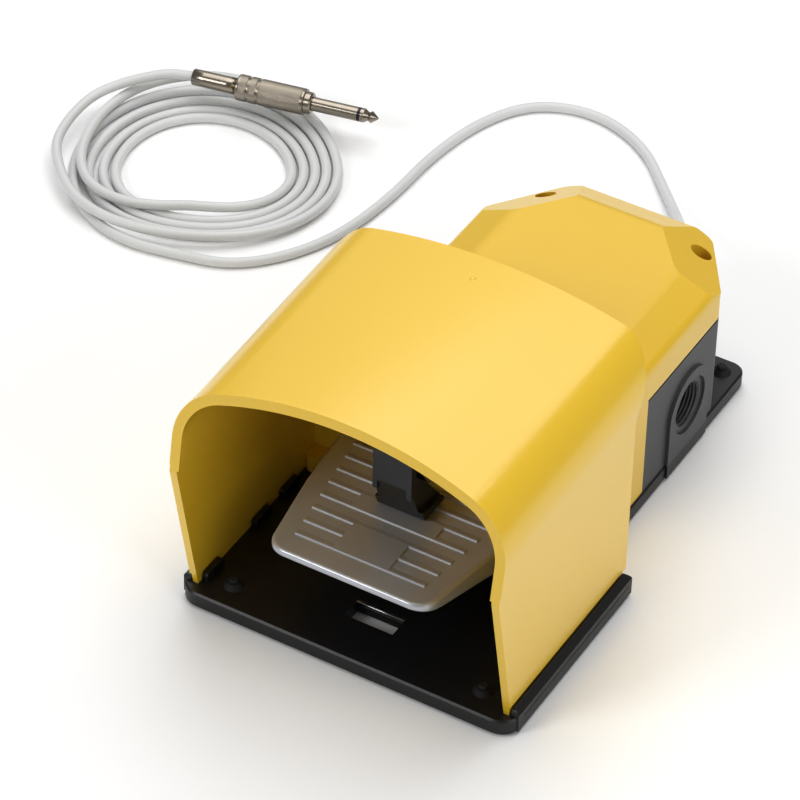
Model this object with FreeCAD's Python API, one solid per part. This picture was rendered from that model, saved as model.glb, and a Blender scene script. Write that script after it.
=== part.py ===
import FreeCAD, Part
import math
import os
from FreeCAD import Rotation, Vector

os.makedirs("parts", exist_ok=True)

# Drawing frame: x from the symmetry plane, y rearwards from the front edge of the base, z up from its underside.
# Sizes are in millimetres.

# Clearances
FIT = 0.05
SEAT = 0.3
SHAFT_GRIP = 0.02

# Extra length of cutters past a face, and the size of the largest cutters
PAST = 1.0
REACH = 400.0

# Base plate
BASE_W = 150.0
BASE_T = 6.5
BASE_FRONT_L = 96.0
BASE_L = 235.7
BASE_TAIL_W = 109.5
BASE_CORNER_R = 9.0
BASE_TAIL_R = 6.5
BASE_EDGE = 0.8
SLOT_W = 21.8
SLOT_L = 10.3
SLOT_Y = 20.3
STRIP_T = 1.4
STRIP_H = 1.9
STRIP_PROUD = 0.1
RAIL_T = 3.4
RAIL_START = 5.5
RAIL_OUT_H = 1.6
RAIL_IN_H = 3.6
RAIL_GROOVE = 0.35
RAIL_GROOVE_Z = 5.2
LUG_T = 2.4
LUG_H = 4.0
LUG_L = 12.0
LUG_FIRST = 8.0
LUG_LAST = 65.0
LUG_PITCH = 21.0

# Rubber feet
FOOT_PROUD = 1.5
FOOT_PAD_R = 7.5
FOOT_RECESS = 1.5
FOOT_NECK_R = 2.7
FOOT_HEAD_R = 4.2
FOOT_HEAD_H = 2.0
FOOT_TAIL_R = 2.0
FOOT_TAIL_H = 3.6
FOOT_IN = 19.0
FOOT_Y = 12.0
REAR_FOOT_IN = 8.0
REAR_FOOT_BACK = 8.8

# Hood
HOOD_GAP = 0.1
HOOD_FLARE = 0.5
HOOD_WALL = 3.2
HOOD_FRONT_Y = -12.0
HOOD_BACK_Y = 112.5
HOOD_TOP = 123.4
HOOD_FRONT_CORNER_R = 26.0
HOOD_FRONT_CROWN_R = 158.0
HOOD_REAR_CORNER_R = 24.0
HOOD_REAR_CROWN_R = 230.0
HOOD_EAVES_Z = 114.0
HOOD_KNEE_Z = 88.0
HOOD_NOSE_Y = -8.0
HOOD_NOSE_Z = 74.0
HOOD_HEEL_Y = 5.5
RIM_SLOPE = 0.176
RIM_LIP_T = 4.0
RIM_LIP_D = 4.0
RIM_BAND_T = 0.3
RIM_BAND_D = 2.4
RIM_STEP_H = 3.0
RIM_LIP_START = 1.0
RIM_BAND_START = 3.0
TONGUE_STEP = 0.8
TONGUE_H = 5.0
HOOD_BOSS_R = 4.6
HOOD_BOSS_H = 8.0
HOOD_BOSS_GRIP = 6.5
HOOD_BOSS_SINK = 0.8
MOUTH_W = 104.0
MOUTH_TOP = 57.0
MOUTH_R = 6.0
MOUTH_STEP = 1.0

# Housing and cover
HOUSING_W = 108.0
HOUSING_FRONT = 143.5
HOUSING_REAR = 235.5
HOUSING_TOP = 54.0
HOUSING_WALL = 3.0
BEVEL_Y = 204.0
BEVEL_X = 34.0
BEVEL_R = 6.0
GASKET_T = 1.0
GASKET_W = 2.4
COVER_WALL = 3.0
COVER_TOP = 78.0
COVER_SHOULDER_Z = 70.0
COVER_SHOULDER_R = 5.0
COVER_PLATEAU_X = 37.0
COVER_PLATEAU_R = 14.0
COVER_REAR_Z = 68.5
COVER_PLATEAU_Y = 217.6
COVER_REAR_R = 9.0
FACET_DROP_X = 0.45
FACET_DROP_Y = 0.36
FACET_Z = 67.3

# Cable entries
ENTRY_R = 10.0
ENTRY_Y = 179.5
ENTRY_Z = 27.0
ENTRY_RING_R = 12.8
ENTRY_RING_D = 1.2
ENTRY_BOSS_R = 13.6
ENTRY_BOSS_D = 5.0
PAD_T = 1.5
PAD_R = 17.0

# Cover, hood and housing screws
COVER_SCREW_X = 36.0
COVER_SCREW_Y = 221.0
COVER_SCREW_R = 1.9
COVER_HEAD_R = 3.6
COVER_HEAD_H = 2.6
COVER_SINK_R = 4.4
COVER_SINK_Z = 59.0
COVER_BOSS_R = 5.8
COVER_SCREW_GRIP = 14.0
TAP_R = 1.6
TAP_HEAD_R = 3.4
TAP_HEAD_H = 2.2
TAP_GRIP = 9.0
FRONT_SCREW_X = 42.0
FRONT_SCREW_Y = 155.0
HOUSING_BOSS_R = 4.4
HOUSING_BOSS_H = 13.0
BACK_SCREW_X = 44.0
BACK_SCREW_Z = 65.0
BACK_BOSS_R = 4.4
BACK_BOSS_L = 9.0

# Pedal, from the hinge outwards
PIVOT_Y = 128.0
PIVOT_Z = 30.0
PEDAL_TOP = 46.2
PEDAL_T = 3.0
PEDAL_FRONT = 2.0
PEDAL_FRONT_HALF = 35.0
PEDAL_MID_Y = 42.0
PEDAL_MID_HALF = 41.6
PEDAL_WIDE_Y = 92.0
PEDAL_WIDE_HALF = 46.5
PEDAL_CORNER_R = 9.0
PEDAL_TAIL_HALF = 46.5
PEDAL_TAIL_R = 10.0
PEDAL_BOSS_R = 7.0
SKIRT_FRONT_Z = 43.2
SKIRT_MID_Y = 13.0
SKIRT_MID_Z = 39.8
SKIRT_DEEP_Y = 39.0
SKIRT_DEEP_Z = 35.5
PEDAL_EDGE_R = 1.6
RIB_H = 0.7
RIB_W = 3.4
RIB_FRONT = 0.4
RIB_BACK = 2.4
RIB_PITCH = 8.0
RIB_FIRST = 12.5
RIB_COUNT = 8
RIB_HALF = 28.6
RIB_SPREAD = 0.14
PAD_A_HALF = 12.2
PAD_A_ROWS = (0, 2)
PAD_B_HALF = 18.4
PAD_B_ROWS = (3, 4)

# Hinge of the pedal
SHAFT_R = 4.0
SHAFT_END = 1.6
RING_R = 6.2
RING_T = 1.0
POST_X = 34.0
POST_T = 7.0
POST_HALF_Y = 10.0
POST_WALL = 2.0
POST_GAP = 0.8
BUSH_R = 6.0
BUSH_FLANGE_R = 8.0
BUSH_FLANGE_T = 1.2

# Switch drive
ARM_PUSH_R = 16.0
ARM_NOSE_R = 4.0
ARM_X = 14.0
ARM_T = 8.0
ARM_HUB_R = 6.5
ARM_HUB_HALF = 24.0
ARM_FOOT_L = 18.0
ARM_FOOT_T = 3.0
ARM_SCREW_X = 17.0
PLUNGER_R = 3.0
PLUNGER_HEAD_R = 4.2
PLUNGER_HEAD_T = 2.0
PLUNGER_TRAVEL = 3.6
SEAL_R = 5.4
SEAL_T = 1.6
BLOCK_W = 24.0
BLOCK_Y = 149.5
BLOCK_L = 42.0
BLOCK_Z = 9.5
BLOCK_H = 22.0
BLOCK_STEP_L = 11.0
BLOCK_STEP_H = 7.0
BLOCK_BORE_D = 9.0
BLOCK_TERMINAL_R = 2.8
TERMINAL_XS = (-6.0, 6.0)

# Pedal return spring
SPRING_Y = 98.0
SPRING_R = 6.5
SPRING_WIRE_R = 0.9
SPRING_TURNS = 5
SPRING_SEAT_R = 4.6
SPRING_SEAT_H = 4.0

# Safety lever
LEVER_PIN_Y = 42.0
LEVER_PIN_Z = 112.0
LEVER_PIN_R = 2.0
LEVER_HALF = 8.6
LEVER_TIP_HALF = 10.6
LEVER_T = 2.2
LEVER_BEND_Z = 66.0
LEVER_TIP_Y = 43.9
LEVER_TIP_Z = 47.5
LEVER_HEEL_Y = 58.6
LEVER_CHEEK_TOP = 71.0
LEVER_FLANGE = 3.4
LEVER_HUB_R = 5.7
EAR_T = 3.0
EAR_HALF_Y = 7.0
EAR_WALL = 3.5
EAR_R = 4.5
EAR_GAP = 1.0
LATCH_R = 5.8
LATCH_L = 30.0
LATCH_LOW_Y = 57.0
LATCH_LOW_Z = 55.5
LATCH_EDGE = 0.8
LEVER_SPRING_TURNS = 3
LEVER_SPRING_R = 2.8
LEVER_SPRING_WIRE_R = 0.4
LEVER_SPRING_L = 8.0

# Rear cable gland
GLAND_Z = 26.0
GLAND_THREAD_R = 7.9
GLAND_HEX_R = 11.0
GLAND_HEX_T = 4.0
GLAND_BODY_R = 7.6
GLAND_BODY_L = 8.0
GLAND_NUT_R = 10.4
GLAND_NUT_L = 11.0
GLAND_DOME_L = 4.5
GLAND_DOME_R = 5.6
GLAND_MOUTH_R = 3.4
LOCKNUT_T = 3.0

# Cord and plug
CORD_D = 4.5
CORD_TURN = 0.45
FLOOR_Z = -FOOT_PROUD
CORD_LIE = FLOOR_Z + CORD_D / 2
COIL_X = -217.0
COIL_Y = 238.0
COIL_R = 65.5
COIL_BAND = 30.0
COIL_EDGE = 1.4
COIL_H = 2 * CORD_D
PLUG_TAIL = Vector(-244.4, 277.0, 0.0)
PLUG_HEADING = 11.0
PLUG_RELIEF_R = 3.8
PLUG_RELIEF_L = 21.5
PLUG_BARREL_R = 6.0
PLUG_BARREL_L = 32.0
PLUG_COLLAR_R = 5.0
PLUG_COLLAR_L = 3.2
PLUG_SHAFT_R = 3.175
PLUG_SLEEVE_L = 21.5
PLUG_RING_L = 1.4
PLUG_TIP_L = 8.2

# Places worked out from the sizes above
BASE_HALF = BASE_W / 2
TAIL_HALF = BASE_TAIL_W / 2
HOUSING_HALF = HOUSING_W / 2
COVER_BASE = HOUSING_TOP + GASKET_T
HOOD_HALF = BASE_HALF - RAIL_T - HOOD_GAP
HOOD_REAR_HALF = HOOD_HALF + HOOD_FLARE
HOOD_IN_HALF = HOOD_HALF - HOOD_WALL
POST_OUT = POST_X + POST_T
SHAFT_HALF = PEDAL_TAIL_HALF + RING_T + SHAFT_END
GLAND_END = HOUSING_REAR + GLAND_HEX_T + 1.0 + GLAND_NUT_L + GLAND_DOME_L
Y_MID = (HOOD_NOSE_Y + GLAND_END) / 2
HOOD_BOSS_X = HOOD_REAR_HALF - HOOD_WALL - HOOD_BOSS_R + HOOD_BOSS_SINK
HOOD_BOSS_Y = BASE_FRONT_L - HOOD_WALL - HOOD_BOSS_R + HOOD_BOSS_SINK
LUG_YS = (LUG_FIRST, LUG_LAST - LUG_PITCH, LUG_LAST)
FOOT_PLACES = ((BASE_HALF - FOOT_IN, FOOT_Y), (TAIL_HALF - REAR_FOOT_IN, BASE_L - REAR_FOOT_BACK))

# Cord route after the gland, chosen by hand: straight out, down to the floor and round to the coil
CORD_ROUTE = [
    Vector(0.0, GLAND_END, GLAND_Z),
    Vector(0.0, GLAND_END + 18.0, GLAND_Z),
    Vector(-6.0, GLAND_END + 35.0, GLAND_Z - 9.0),
    Vector(-17.0, GLAND_END + 54.0, CORD_LIE + 4.0),
    Vector(-34.0, 330.0, CORD_LIE),
    Vector(-56.0, 353.0, CORD_LIE),
    Vector(-86.0, 364.0, CORD_LIE),
    Vector(-113.0, 355.0, CORD_LIE),
    Vector(-127.0, 331.0, CORD_LIE),
    Vector(-133.0, 298.0, CORD_LIE),
    Vector(-133.0, 262.0, CORD_LIE),
    Vector(-138.0, 228.0, CORD_LIE),
    Vector(-150.0, 203.0, CORD_LIE),
    Vector(-168.0, 185.0, CORD_LIE),
    Vector(-192.0, 179.5, CORD_LIE),
    Vector(-208.0, 182.0, CORD_LIE),
]


def to_space(plane, a, b, level):
    """A point of a drawing plane, at its level along the plane's normal."""
    if plane == "xy":
        return Vector(a, b, level)
    if plane == "yz":
        return Vector(level, a, b)
    return Vector(a, level, b)


def outline(corners, plane, level):
    """Closed wire through (a, b, radius) corners, with a tangent arc at each corner that has a radius."""
    starts, ends, mids = [], [], []
    count = len(corners)
    for i, (a, b, radius) in enumerate(corners):
        here = Vector(a, b, 0)
        back = Vector(corners[i - 1][0], corners[i - 1][1], 0) - here
        ahead = Vector(corners[(i + 1) % count][0], corners[(i + 1) % count][1], 0) - here
        back.normalize()
        ahead.normalize()
        if radius <= 0:
            starts.append(here)
            ends.append(here)
            mids.append(None)
            continue
        inner = back.getAngle(ahead) / 2
        reach = radius / math.tan(inner)
        middle = (back + ahead).normalize()
        centre = here + middle * (radius / math.sin(inner))
        starts.append(here + back * reach)
        ends.append(here + ahead * reach)
        mids.append(centre - middle * radius)
    edges = []
    for i in range(count):
        if mids[i] is not None:
            arc = [to_space(plane, p.x, p.y, level) for p in (starts[i], mids[i], ends[i])]
            edges.append(Part.Arc(*arc).toShape())
        p, q = ends[i], starts[(i + 1) % count]
        if p.distanceToPoint(q) > 1e-6:
            line = [to_space(plane, v.x, v.y, level) for v in (p, q)]
            edges.append(Part.LineSegment(*line).toShape())
    return Part.Wire(edges)


def prism(corners, plane, start, end):
    """Solid between two levels of a drawing plane, from an outline."""
    face = Part.Face(outline(corners, plane, start))
    return face.extrude(to_space(plane, 0, 0, end - start))


def sharp(points):
    """Corners without a radius."""
    return [(a, b, 0) for a, b in points]


def box(x0, x1, y0, y1, z0, z1):
    return Part.makeBox(x1 - x0, y1 - y0, z1 - z0, Vector(x0, y0, z0))


def rod(radius, start, end):
    """Round bar between two points."""
    along = end - start
    return Part.makeCylinder(radius, along.Length, start, along)


def hinge_rod(radius, start, end):
    """Round bar on the pedal's hinge axis, between two x places."""
    return rod(radius, Vector(start, PIVOT_Y, PIVOT_Z), Vector(end, PIVOT_Y, PIVOT_Z))


def turned(profile, origin, direction):
    """Solid of revolution from (distance along the axis, radius) points."""
    points = [Vector(r, 0, s) for s, r in profile]
    points.append(points[0])
    solid = Part.Face(Part.makePolygon(points)).revolve(Vector(0, 0, 0), Vector(0, 0, 1), 360)
    solid.Placement = FreeCAD.Placement(origin, Rotation(Vector(0, 0, 1), direction))
    return solid


def hexagon(radius, thickness, origin, direction):
    """Hexagonal prism, with its corners at the radius."""
    points = []
    for i in range(7):
        angle = math.radians(60 * i + 30)
        points.append(Vector(radius * math.cos(angle), radius * math.sin(angle), 0))
    solid = Part.Face(Part.makePolygon(points)).extrude(Vector(0, 0, thickness))
    solid.Placement = FreeCAD.Placement(origin, Rotation(Vector(0, 0, 1), direction))
    return solid


def both_sides(shape):
    """The shape and its mirror image across the symmetry plane."""
    return [shape, shape.mirror(Vector(0, 0, 0), Vector(1, 0, 0))]


def above_plane(point, normal):
    """Large block on the outer side of a plane, for cutting a facet."""
    block = Part.makeBox(REACH, REACH, REACH, Vector(-REACH / 2, -REACH / 2, 0))
    block.Placement = FreeCAD.Placement(point, Rotation(Vector(0, 0, 1), normal))
    return block


# Base plate

def foot_places():
    return [Vector(side * x, y, 0) for x, y in FOOT_PLACES for side in (-1, 1)]


def base_outline():
    right = [
        (BASE_HALF, 0, BASE_CORNER_R),
        (BASE_HALF, BASE_FRONT_L, 2.0),
        (TAIL_HALF, BASE_FRONT_L, 2.0),
        (TAIL_HALF, BASE_L, BASE_TAIL_R),
    ]
    left = [(-x, y, r) for x, y, r in reversed(right)]
    return right + left


def base_rail():
    """Rail outside one wall of the hood, with a sloping top and a rounded front end."""
    out, inner = BASE_HALF, BASE_HALF - RAIL_T
    high, low = BASE_T + RAIL_IN_H, BASE_T + RAIL_OUT_H
    profile = sharp([(inner, 0), (out, 0), (out, low), (inner + 1.0, high), (inner, high)])
    rail = prism(profile, "xz", RAIL_START, BASE_FRONT_L)
    side = [(RAIL_START, 0, 0), (BASE_FRONT_L, 0, 0), (BASE_FRONT_L, high, 3.0), (RAIL_START, high, 3.0)]
    return rail.common(prism(side, "yz", inner - 1, out + 1))


def shaft_post():
    """Post that carries one end of the hinge shaft."""
    top = BUSH_R + POST_WALL
    shape = [
        (PIVOT_Y - POST_HALF_Y, 0, 0),
        (PIVOT_Y + POST_HALF_Y, 0, 0),
        (PIVOT_Y + top, PIVOT_Z + top, top),
        (PIVOT_Y - top, PIVOT_Z + top, top),
    ]
    post = prism(shape, "yz", POST_X, POST_OUT)
    return post.cut(hinge_rod(BUSH_R + FIT, POST_X - 1, POST_OUT + 1))


def base_screw_places():
    """Screws driven up through the base: two into the hood and four into the housing."""
    places = [(HOOD_BOSS_X, HOOD_BOSS_Y), (FRONT_SCREW_X, FRONT_SCREW_Y), (COVER_SCREW_X, COVER_SCREW_Y)]
    return [Vector(side * x, y, 0) for x, y in places for side in (-1, 1)]


def base_plate():
    plate = prism(base_outline(), "xy", 0, BASE_T)
    rim = [e for e in plate.Edges if abs(e.BoundBox.ZMin - BASE_T) < 1e-6 and e.BoundBox.YMin < RAIL_START + 4.0]
    plate = plate.makeChamfer(BASE_EDGE, [e for e in rim if e.BoundBox.YMax < BASE_CORNER_R + 0.1])
    pad = prism([(ENTRY_Y - PAD_R, 0, 0), (ENTRY_Y + PAD_R, 0, 0), (ENTRY_Y + PAD_R, BASE_T, 0),
                 (ENTRY_Y - PAD_R, BASE_T, 0)], "yz", TAIL_HALF - 1, HOUSING_HALF + PAD_T)
    solids = []
    for piece in (base_rail(), shaft_post(), pad):
        solids += both_sides(piece)
    for y in LUG_YS:
        lug = prism([(y, BASE_T - 1, 0), (y + LUG_L, BASE_T - 1, 0), (y + LUG_L, BASE_T + LUG_H, 1.5),
                     (y, BASE_T + LUG_H, 1.5)], "yz", HOOD_IN_HALF - SEAT - LUG_T, HOOD_IN_HALF - SEAT)
        solids += both_sides(lug)
    solids.append(rod(SPRING_SEAT_R, Vector(0, SPRING_Y, BASE_T - 1), Vector(0, SPRING_Y, BASE_T + SPRING_SEAT_H)))
    plate = plate.multiFuse(solids).removeSplitter()
    groove = box(BASE_HALF - RAIL_GROOVE, BASE_HALF + 1, RAIL_START + 4, BASE_FRONT_L - 3,
                 RAIL_GROOVE_Z - 0.2, RAIL_GROOVE_Z + 0.2)
    cuts = both_sides(groove)
    cuts.append(box(-SLOT_W / 2, SLOT_W / 2, SLOT_Y, SLOT_Y + SLOT_L, -1, BASE_T + 1))
    for place in foot_places():
        cuts.append(rod(FOOT_PAD_R + SEAT, place - Vector(0, 0, 1), place + Vector(0, 0, FOOT_RECESS)))
        cuts.append(rod(FOOT_NECK_R + FIT, place, place + Vector(0, 0, BASE_T + 1)))
    for place in base_screw_places():
        cuts.append(rod(TAP_HEAD_R + SEAT, place - Vector(0, 0, 1), place + Vector(0, 0, TAP_HEAD_H + 0.6)))
        cuts.append(rod(TAP_R + FIT, place, place + Vector(0, 0, BASE_T + 1)))
    return plate.cut(Part.makeCompound(cuts))


def catch_strip():
    """Steel strip along the upper rear edge of the slot in the base."""
    y = SLOT_Y + SLOT_L
    half = SLOT_W / 2 - FIT
    top = BASE_T + STRIP_PROUD
    return box(-half, half, y - STRIP_T, y, top - STRIP_H, top)


def rubber_foot(place):
    """Pad under the base, a neck through its hole and a conical head with a pull tail."""
    top = BASE_T
    profile = [
        (-FOOT_PROUD, 0), (-FOOT_PROUD, FOOT_PAD_R - 0.8), (-FOOT_PROUD + 0.8, FOOT_PAD_R), (FOOT_RECESS, FOOT_PAD_R),
        (FOOT_RECESS, FOOT_NECK_R), (top, FOOT_NECK_R), (top, FOOT_HEAD_R), (top + FOOT_HEAD_H, FOOT_TAIL_R + 0.6),
        (top + FOOT_HEAD_H, FOOT_TAIL_R), (top + FOOT_TAIL_H - 0.5, FOOT_TAIL_R), (top + FOOT_TAIL_H, FOOT_TAIL_R - 0.5),
        (top + FOOT_TAIL_H, 0),
    ]
    return turned(profile, place, Vector(0, 0, 1))


def tapping_screw(place, direction, grip):
    """Pan-head screw whose head's bearing face lies at the place."""
    profile = [
        (-TAP_HEAD_H, 0), (-TAP_HEAD_H, TAP_HEAD_R - 1.0), (-TAP_HEAD_H + 0.9, TAP_HEAD_R), (0, TAP_HEAD_R),
        (0, TAP_R), (grip - 1.2, TAP_R), (grip, 0.4), (grip, 0),
    ]
    screw = turned(profile, place, direction)
    across = Vector(0, 1, 0) if abs(direction.x) > 0.5 else Vector(1, 0, 0)
    other = direction.cross(across)
    slots = []
    for way in (across, other):
        side = direction.cross(way)
        start = place - direction * (TAP_HEAD_H + 0.1) - way * 1.7 - side * 0.35
        slot = Part.makeBox(3.4, 0.7, 1.2)
        matrix = FreeCAD.Matrix(way.x, side.x, direction.x, start.x, way.y, side.y, direction.y, start.y,
                                way.z, side.z, direction.z, start.z, 0, 0, 0, 1)
        slots.append(slot.transformGeometry(matrix))
    return screw.cut(Part.makeCompound(slots))


# Hood

def hood_arc_points(centre, radius, start, end):
    """Start, middle and end of an arc about a centre, by angles in degrees."""
    points = []
    for angle in (start, (start + end) / 2, end):
        turn = math.radians(angle)
        points.append((centre[0] + radius * math.cos(turn), centre[1] + radius * math.sin(turn)))
    return points


def hood_wire(y, inset, half, corner, crown, bottom):
    """Closed cross-section of the hood: two sides, a rounded corner each side and a crowned top."""
    wide, corner_r, crown_r, top = half - inset, corner - inset, crown - inset, HOOD_TOP - inset
    crown_z = top - crown_r
    corner_x = wide - corner_r
    corner_z = crown_z + math.sqrt((crown_r - corner_r) ** 2 - corner_x ** 2)
    end = math.degrees(math.atan2(corner_z - crown_z, corner_x))
    bend = hood_arc_points((corner_x, corner_z), corner_r, 0, end)
    x, z = bend[-1]
    runs = [[(wide, bottom), (wide, corner_z)], bend, [(x, z), (0, top), (-x, z)]]
    runs.append([(-a, b) for a, b in reversed(bend)])
    runs.append([(-wide, corner_z), (-wide, bottom)])
    runs.append([(-wide, bottom), (wide, bottom)])
    edges = []
    for run in runs:
        points = [Vector(a, y, b) for a, b in run]
        curve = Part.Arc(*points) if len(points) == 3 else Part.LineSegment(*points)
        edges.append(curve.toShape())
    return Part.Wire(edges)


def hood_form(inset, bottom):
    """Solid between the hood's front and rear sections, moved inwards by the inset."""
    front = hood_wire(HOOD_FRONT_Y, inset, HOOD_HALF, HOOD_FRONT_CORNER_R, HOOD_FRONT_CROWN_R, bottom)
    rear = hood_wire(HOOD_BACK_Y, inset, HOOD_REAR_HALF, HOOD_REAR_CORNER_R, HOOD_REAR_CROWN_R, bottom)
    return Part.makeLoft([front, rear], True, True)


def hood_back(inset, low):
    """Rear line of the hood's side view: upright behind the pedal, then leaning out to the roof's rear edge."""
    points = [(HOOD_BACK_Y, HOOD_TOP + PAST), (HOOD_BACK_Y, HOOD_EAVES_Z), (BASE_FRONT_L, HOOD_KNEE_Z), (BASE_FRONT_L, low)]
    return [(y - inset, z) for y, z in points]


def rim_y(z):
    """Front rim line of the hood, leaning back above its nose."""
    return HOOD_NOSE_Y + (z - HOOD_NOSE_Z) * RIM_SLOPE


def rim_band(depth, start):
    """Slab behind the rim line, from a height upwards, with a sloping lower end."""
    high = HOOD_TOP + PAST
    points = [(rim_y(start), start), (rim_y(high), high), (rim_y(high) + depth, high),
              (rim_y(start + RIM_STEP_H) + depth, start + RIM_STEP_H)]
    return prism(sharp(points), "yz", -BASE_W, BASE_W)


def hood_ear():
    """Lug under the roof that carries one end of the safety lever's pin."""
    y0, y1 = LEVER_PIN_Y - EAR_HALF_Y, LEVER_PIN_Y + EAR_HALF_Y
    x0 = LEVER_HALF + LEVER_T + EAR_GAP
    low = LEVER_PIN_Z - LEVER_PIN_R - EAR_WALL
    root = HOOD_TOP - HOOD_WALL / 2
    ear = prism([(y0, root, 0), (y0, low, EAR_R), (y1, low, EAR_R), (y1, root, 0)], "yz", x0, x0 + EAR_T)
    start = Vector(x0 - PAST, LEVER_PIN_Y, LEVER_PIN_Z)
    return ear.cut(rod(LEVER_PIN_R + FIT, start, start + Vector(EAR_T + 2 * PAST, 0, 0)))


def mouth_cutter(gap, depth):
    """Cutter for the opening that the pedal passes through, from the hood's rear wall into the cover's front."""
    half = MOUTH_W / 2 - gap
    shape = [(-half, 0, 0), (half, 0, 0), (half, MOUTH_TOP, MOUTH_R), (-half, MOUTH_TOP, MOUTH_R)]
    return prism(shape, "xz", BASE_FRONT_L - HOOD_WALL - PAST, BASE_FRONT_L + depth)


def hood():
    """Moulded hood: a lofted shell with a leaning front rim, a thickened lip and a rear wall."""
    high = HOOD_TOP + PAST
    side = [(HOOD_HEEL_Y, BASE_T), (HOOD_NOSE_Y, HOOD_NOSE_Z), (rim_y(high), high)] + hood_back(0, BASE_T)
    room = [(-REACH, -REACH), (-REACH, high)] + hood_back(HOOD_WALL, -REACH)
    shell = hood_form(0, BASE_T).common(prism(sharp(side), "yz", -BASE_W, BASE_W))
    shell = shell.cut(hood_form(HOOD_WALL, -PAST).common(prism(sharp(room), "yz", -BASE_W, BASE_W)))
    lip = hood_form(0, BASE_T).cut(hood_form(RIM_LIP_T, -PAST)).common(rim_band(RIM_LIP_D, HOOD_NOSE_Z + RIM_LIP_START))
    band = hood_form(-RIM_BAND_T, BASE_T).cut(hood_form(HOOD_WALL, -PAST))
    band = band.common(rim_band(RIM_BAND_D, HOOD_NOSE_Z + RIM_BAND_START))
    foot = Vector(HOOD_BOSS_X, HOOD_BOSS_Y, BASE_T)
    boss = rod(HOOD_BOSS_R, foot, foot + Vector(0, 0, HOOD_BOSS_H))
    shell = shell.multiFuse([lip, band] + both_sides(hood_ear()) + both_sides(boss))
    cuts = [mouth_cutter(0, PAST)]
    tongue = box(HOOD_HALF - TONGUE_STEP, BASE_HALF, HOOD_FRONT_Y, BASE_FRONT_L + PAST, 0, BASE_T + TONGUE_H)
    cuts += both_sides(tongue)
    cuts += both_sides(rod(TAP_R + FIT, foot - Vector(0, 0, PAST), foot + Vector(0, 0, HOOD_BOSS_GRIP)))
    back = Vector(BACK_SCREW_X, BASE_FRONT_L - HOOD_WALL - PAST, BACK_SCREW_Z)
    cuts += both_sides(rod(TAP_R + FIT, back, back + Vector(0, HOOD_WALL + 2 * PAST, 0)))
    return shell.cut(Part.makeCompound(cuts))


# Housing and cover

def housing_plan(inset):
    """Plan of housing and cover from the front of the housing back, with its corners cut off at the rear."""
    half = HOUSING_HALF - inset
    turn = math.atan2(HOUSING_HALF - BEVEL_X, HOUSING_REAR - BEVEL_Y)
    bevel_y = BEVEL_Y - inset * math.tan(turn / 2)
    bevel_x = BEVEL_X - inset * math.tan((math.pi / 2 - turn) / 2)
    radius = max(BEVEL_R - inset, 0.5)
    right = [(half, bevel_y, radius), (bevel_x, HOUSING_REAR - inset, radius)]
    return right + [(-x, y, r) for x, y, r in reversed(right)]


def plan_prism(inset, front, low, high):
    """Upright solid on the housing's plan, from a front line back."""
    half = HOUSING_HALF - inset
    corners = housing_plan(inset) + [(-half, front, 0), (half, front, 0)]
    return prism(corners, "xy", low, high)


def cover_screw_places():
    return [Vector(side * COVER_SCREW_X, COVER_SCREW_Y, 0) for side in (-1, 1)]


def entry_bore(radius, inner, outer):
    """Round cutter along x at a cable entry."""
    return rod(radius, Vector(inner, ENTRY_Y, ENTRY_Z), Vector(outer, ENTRY_Y, ENTRY_Z))


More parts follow.
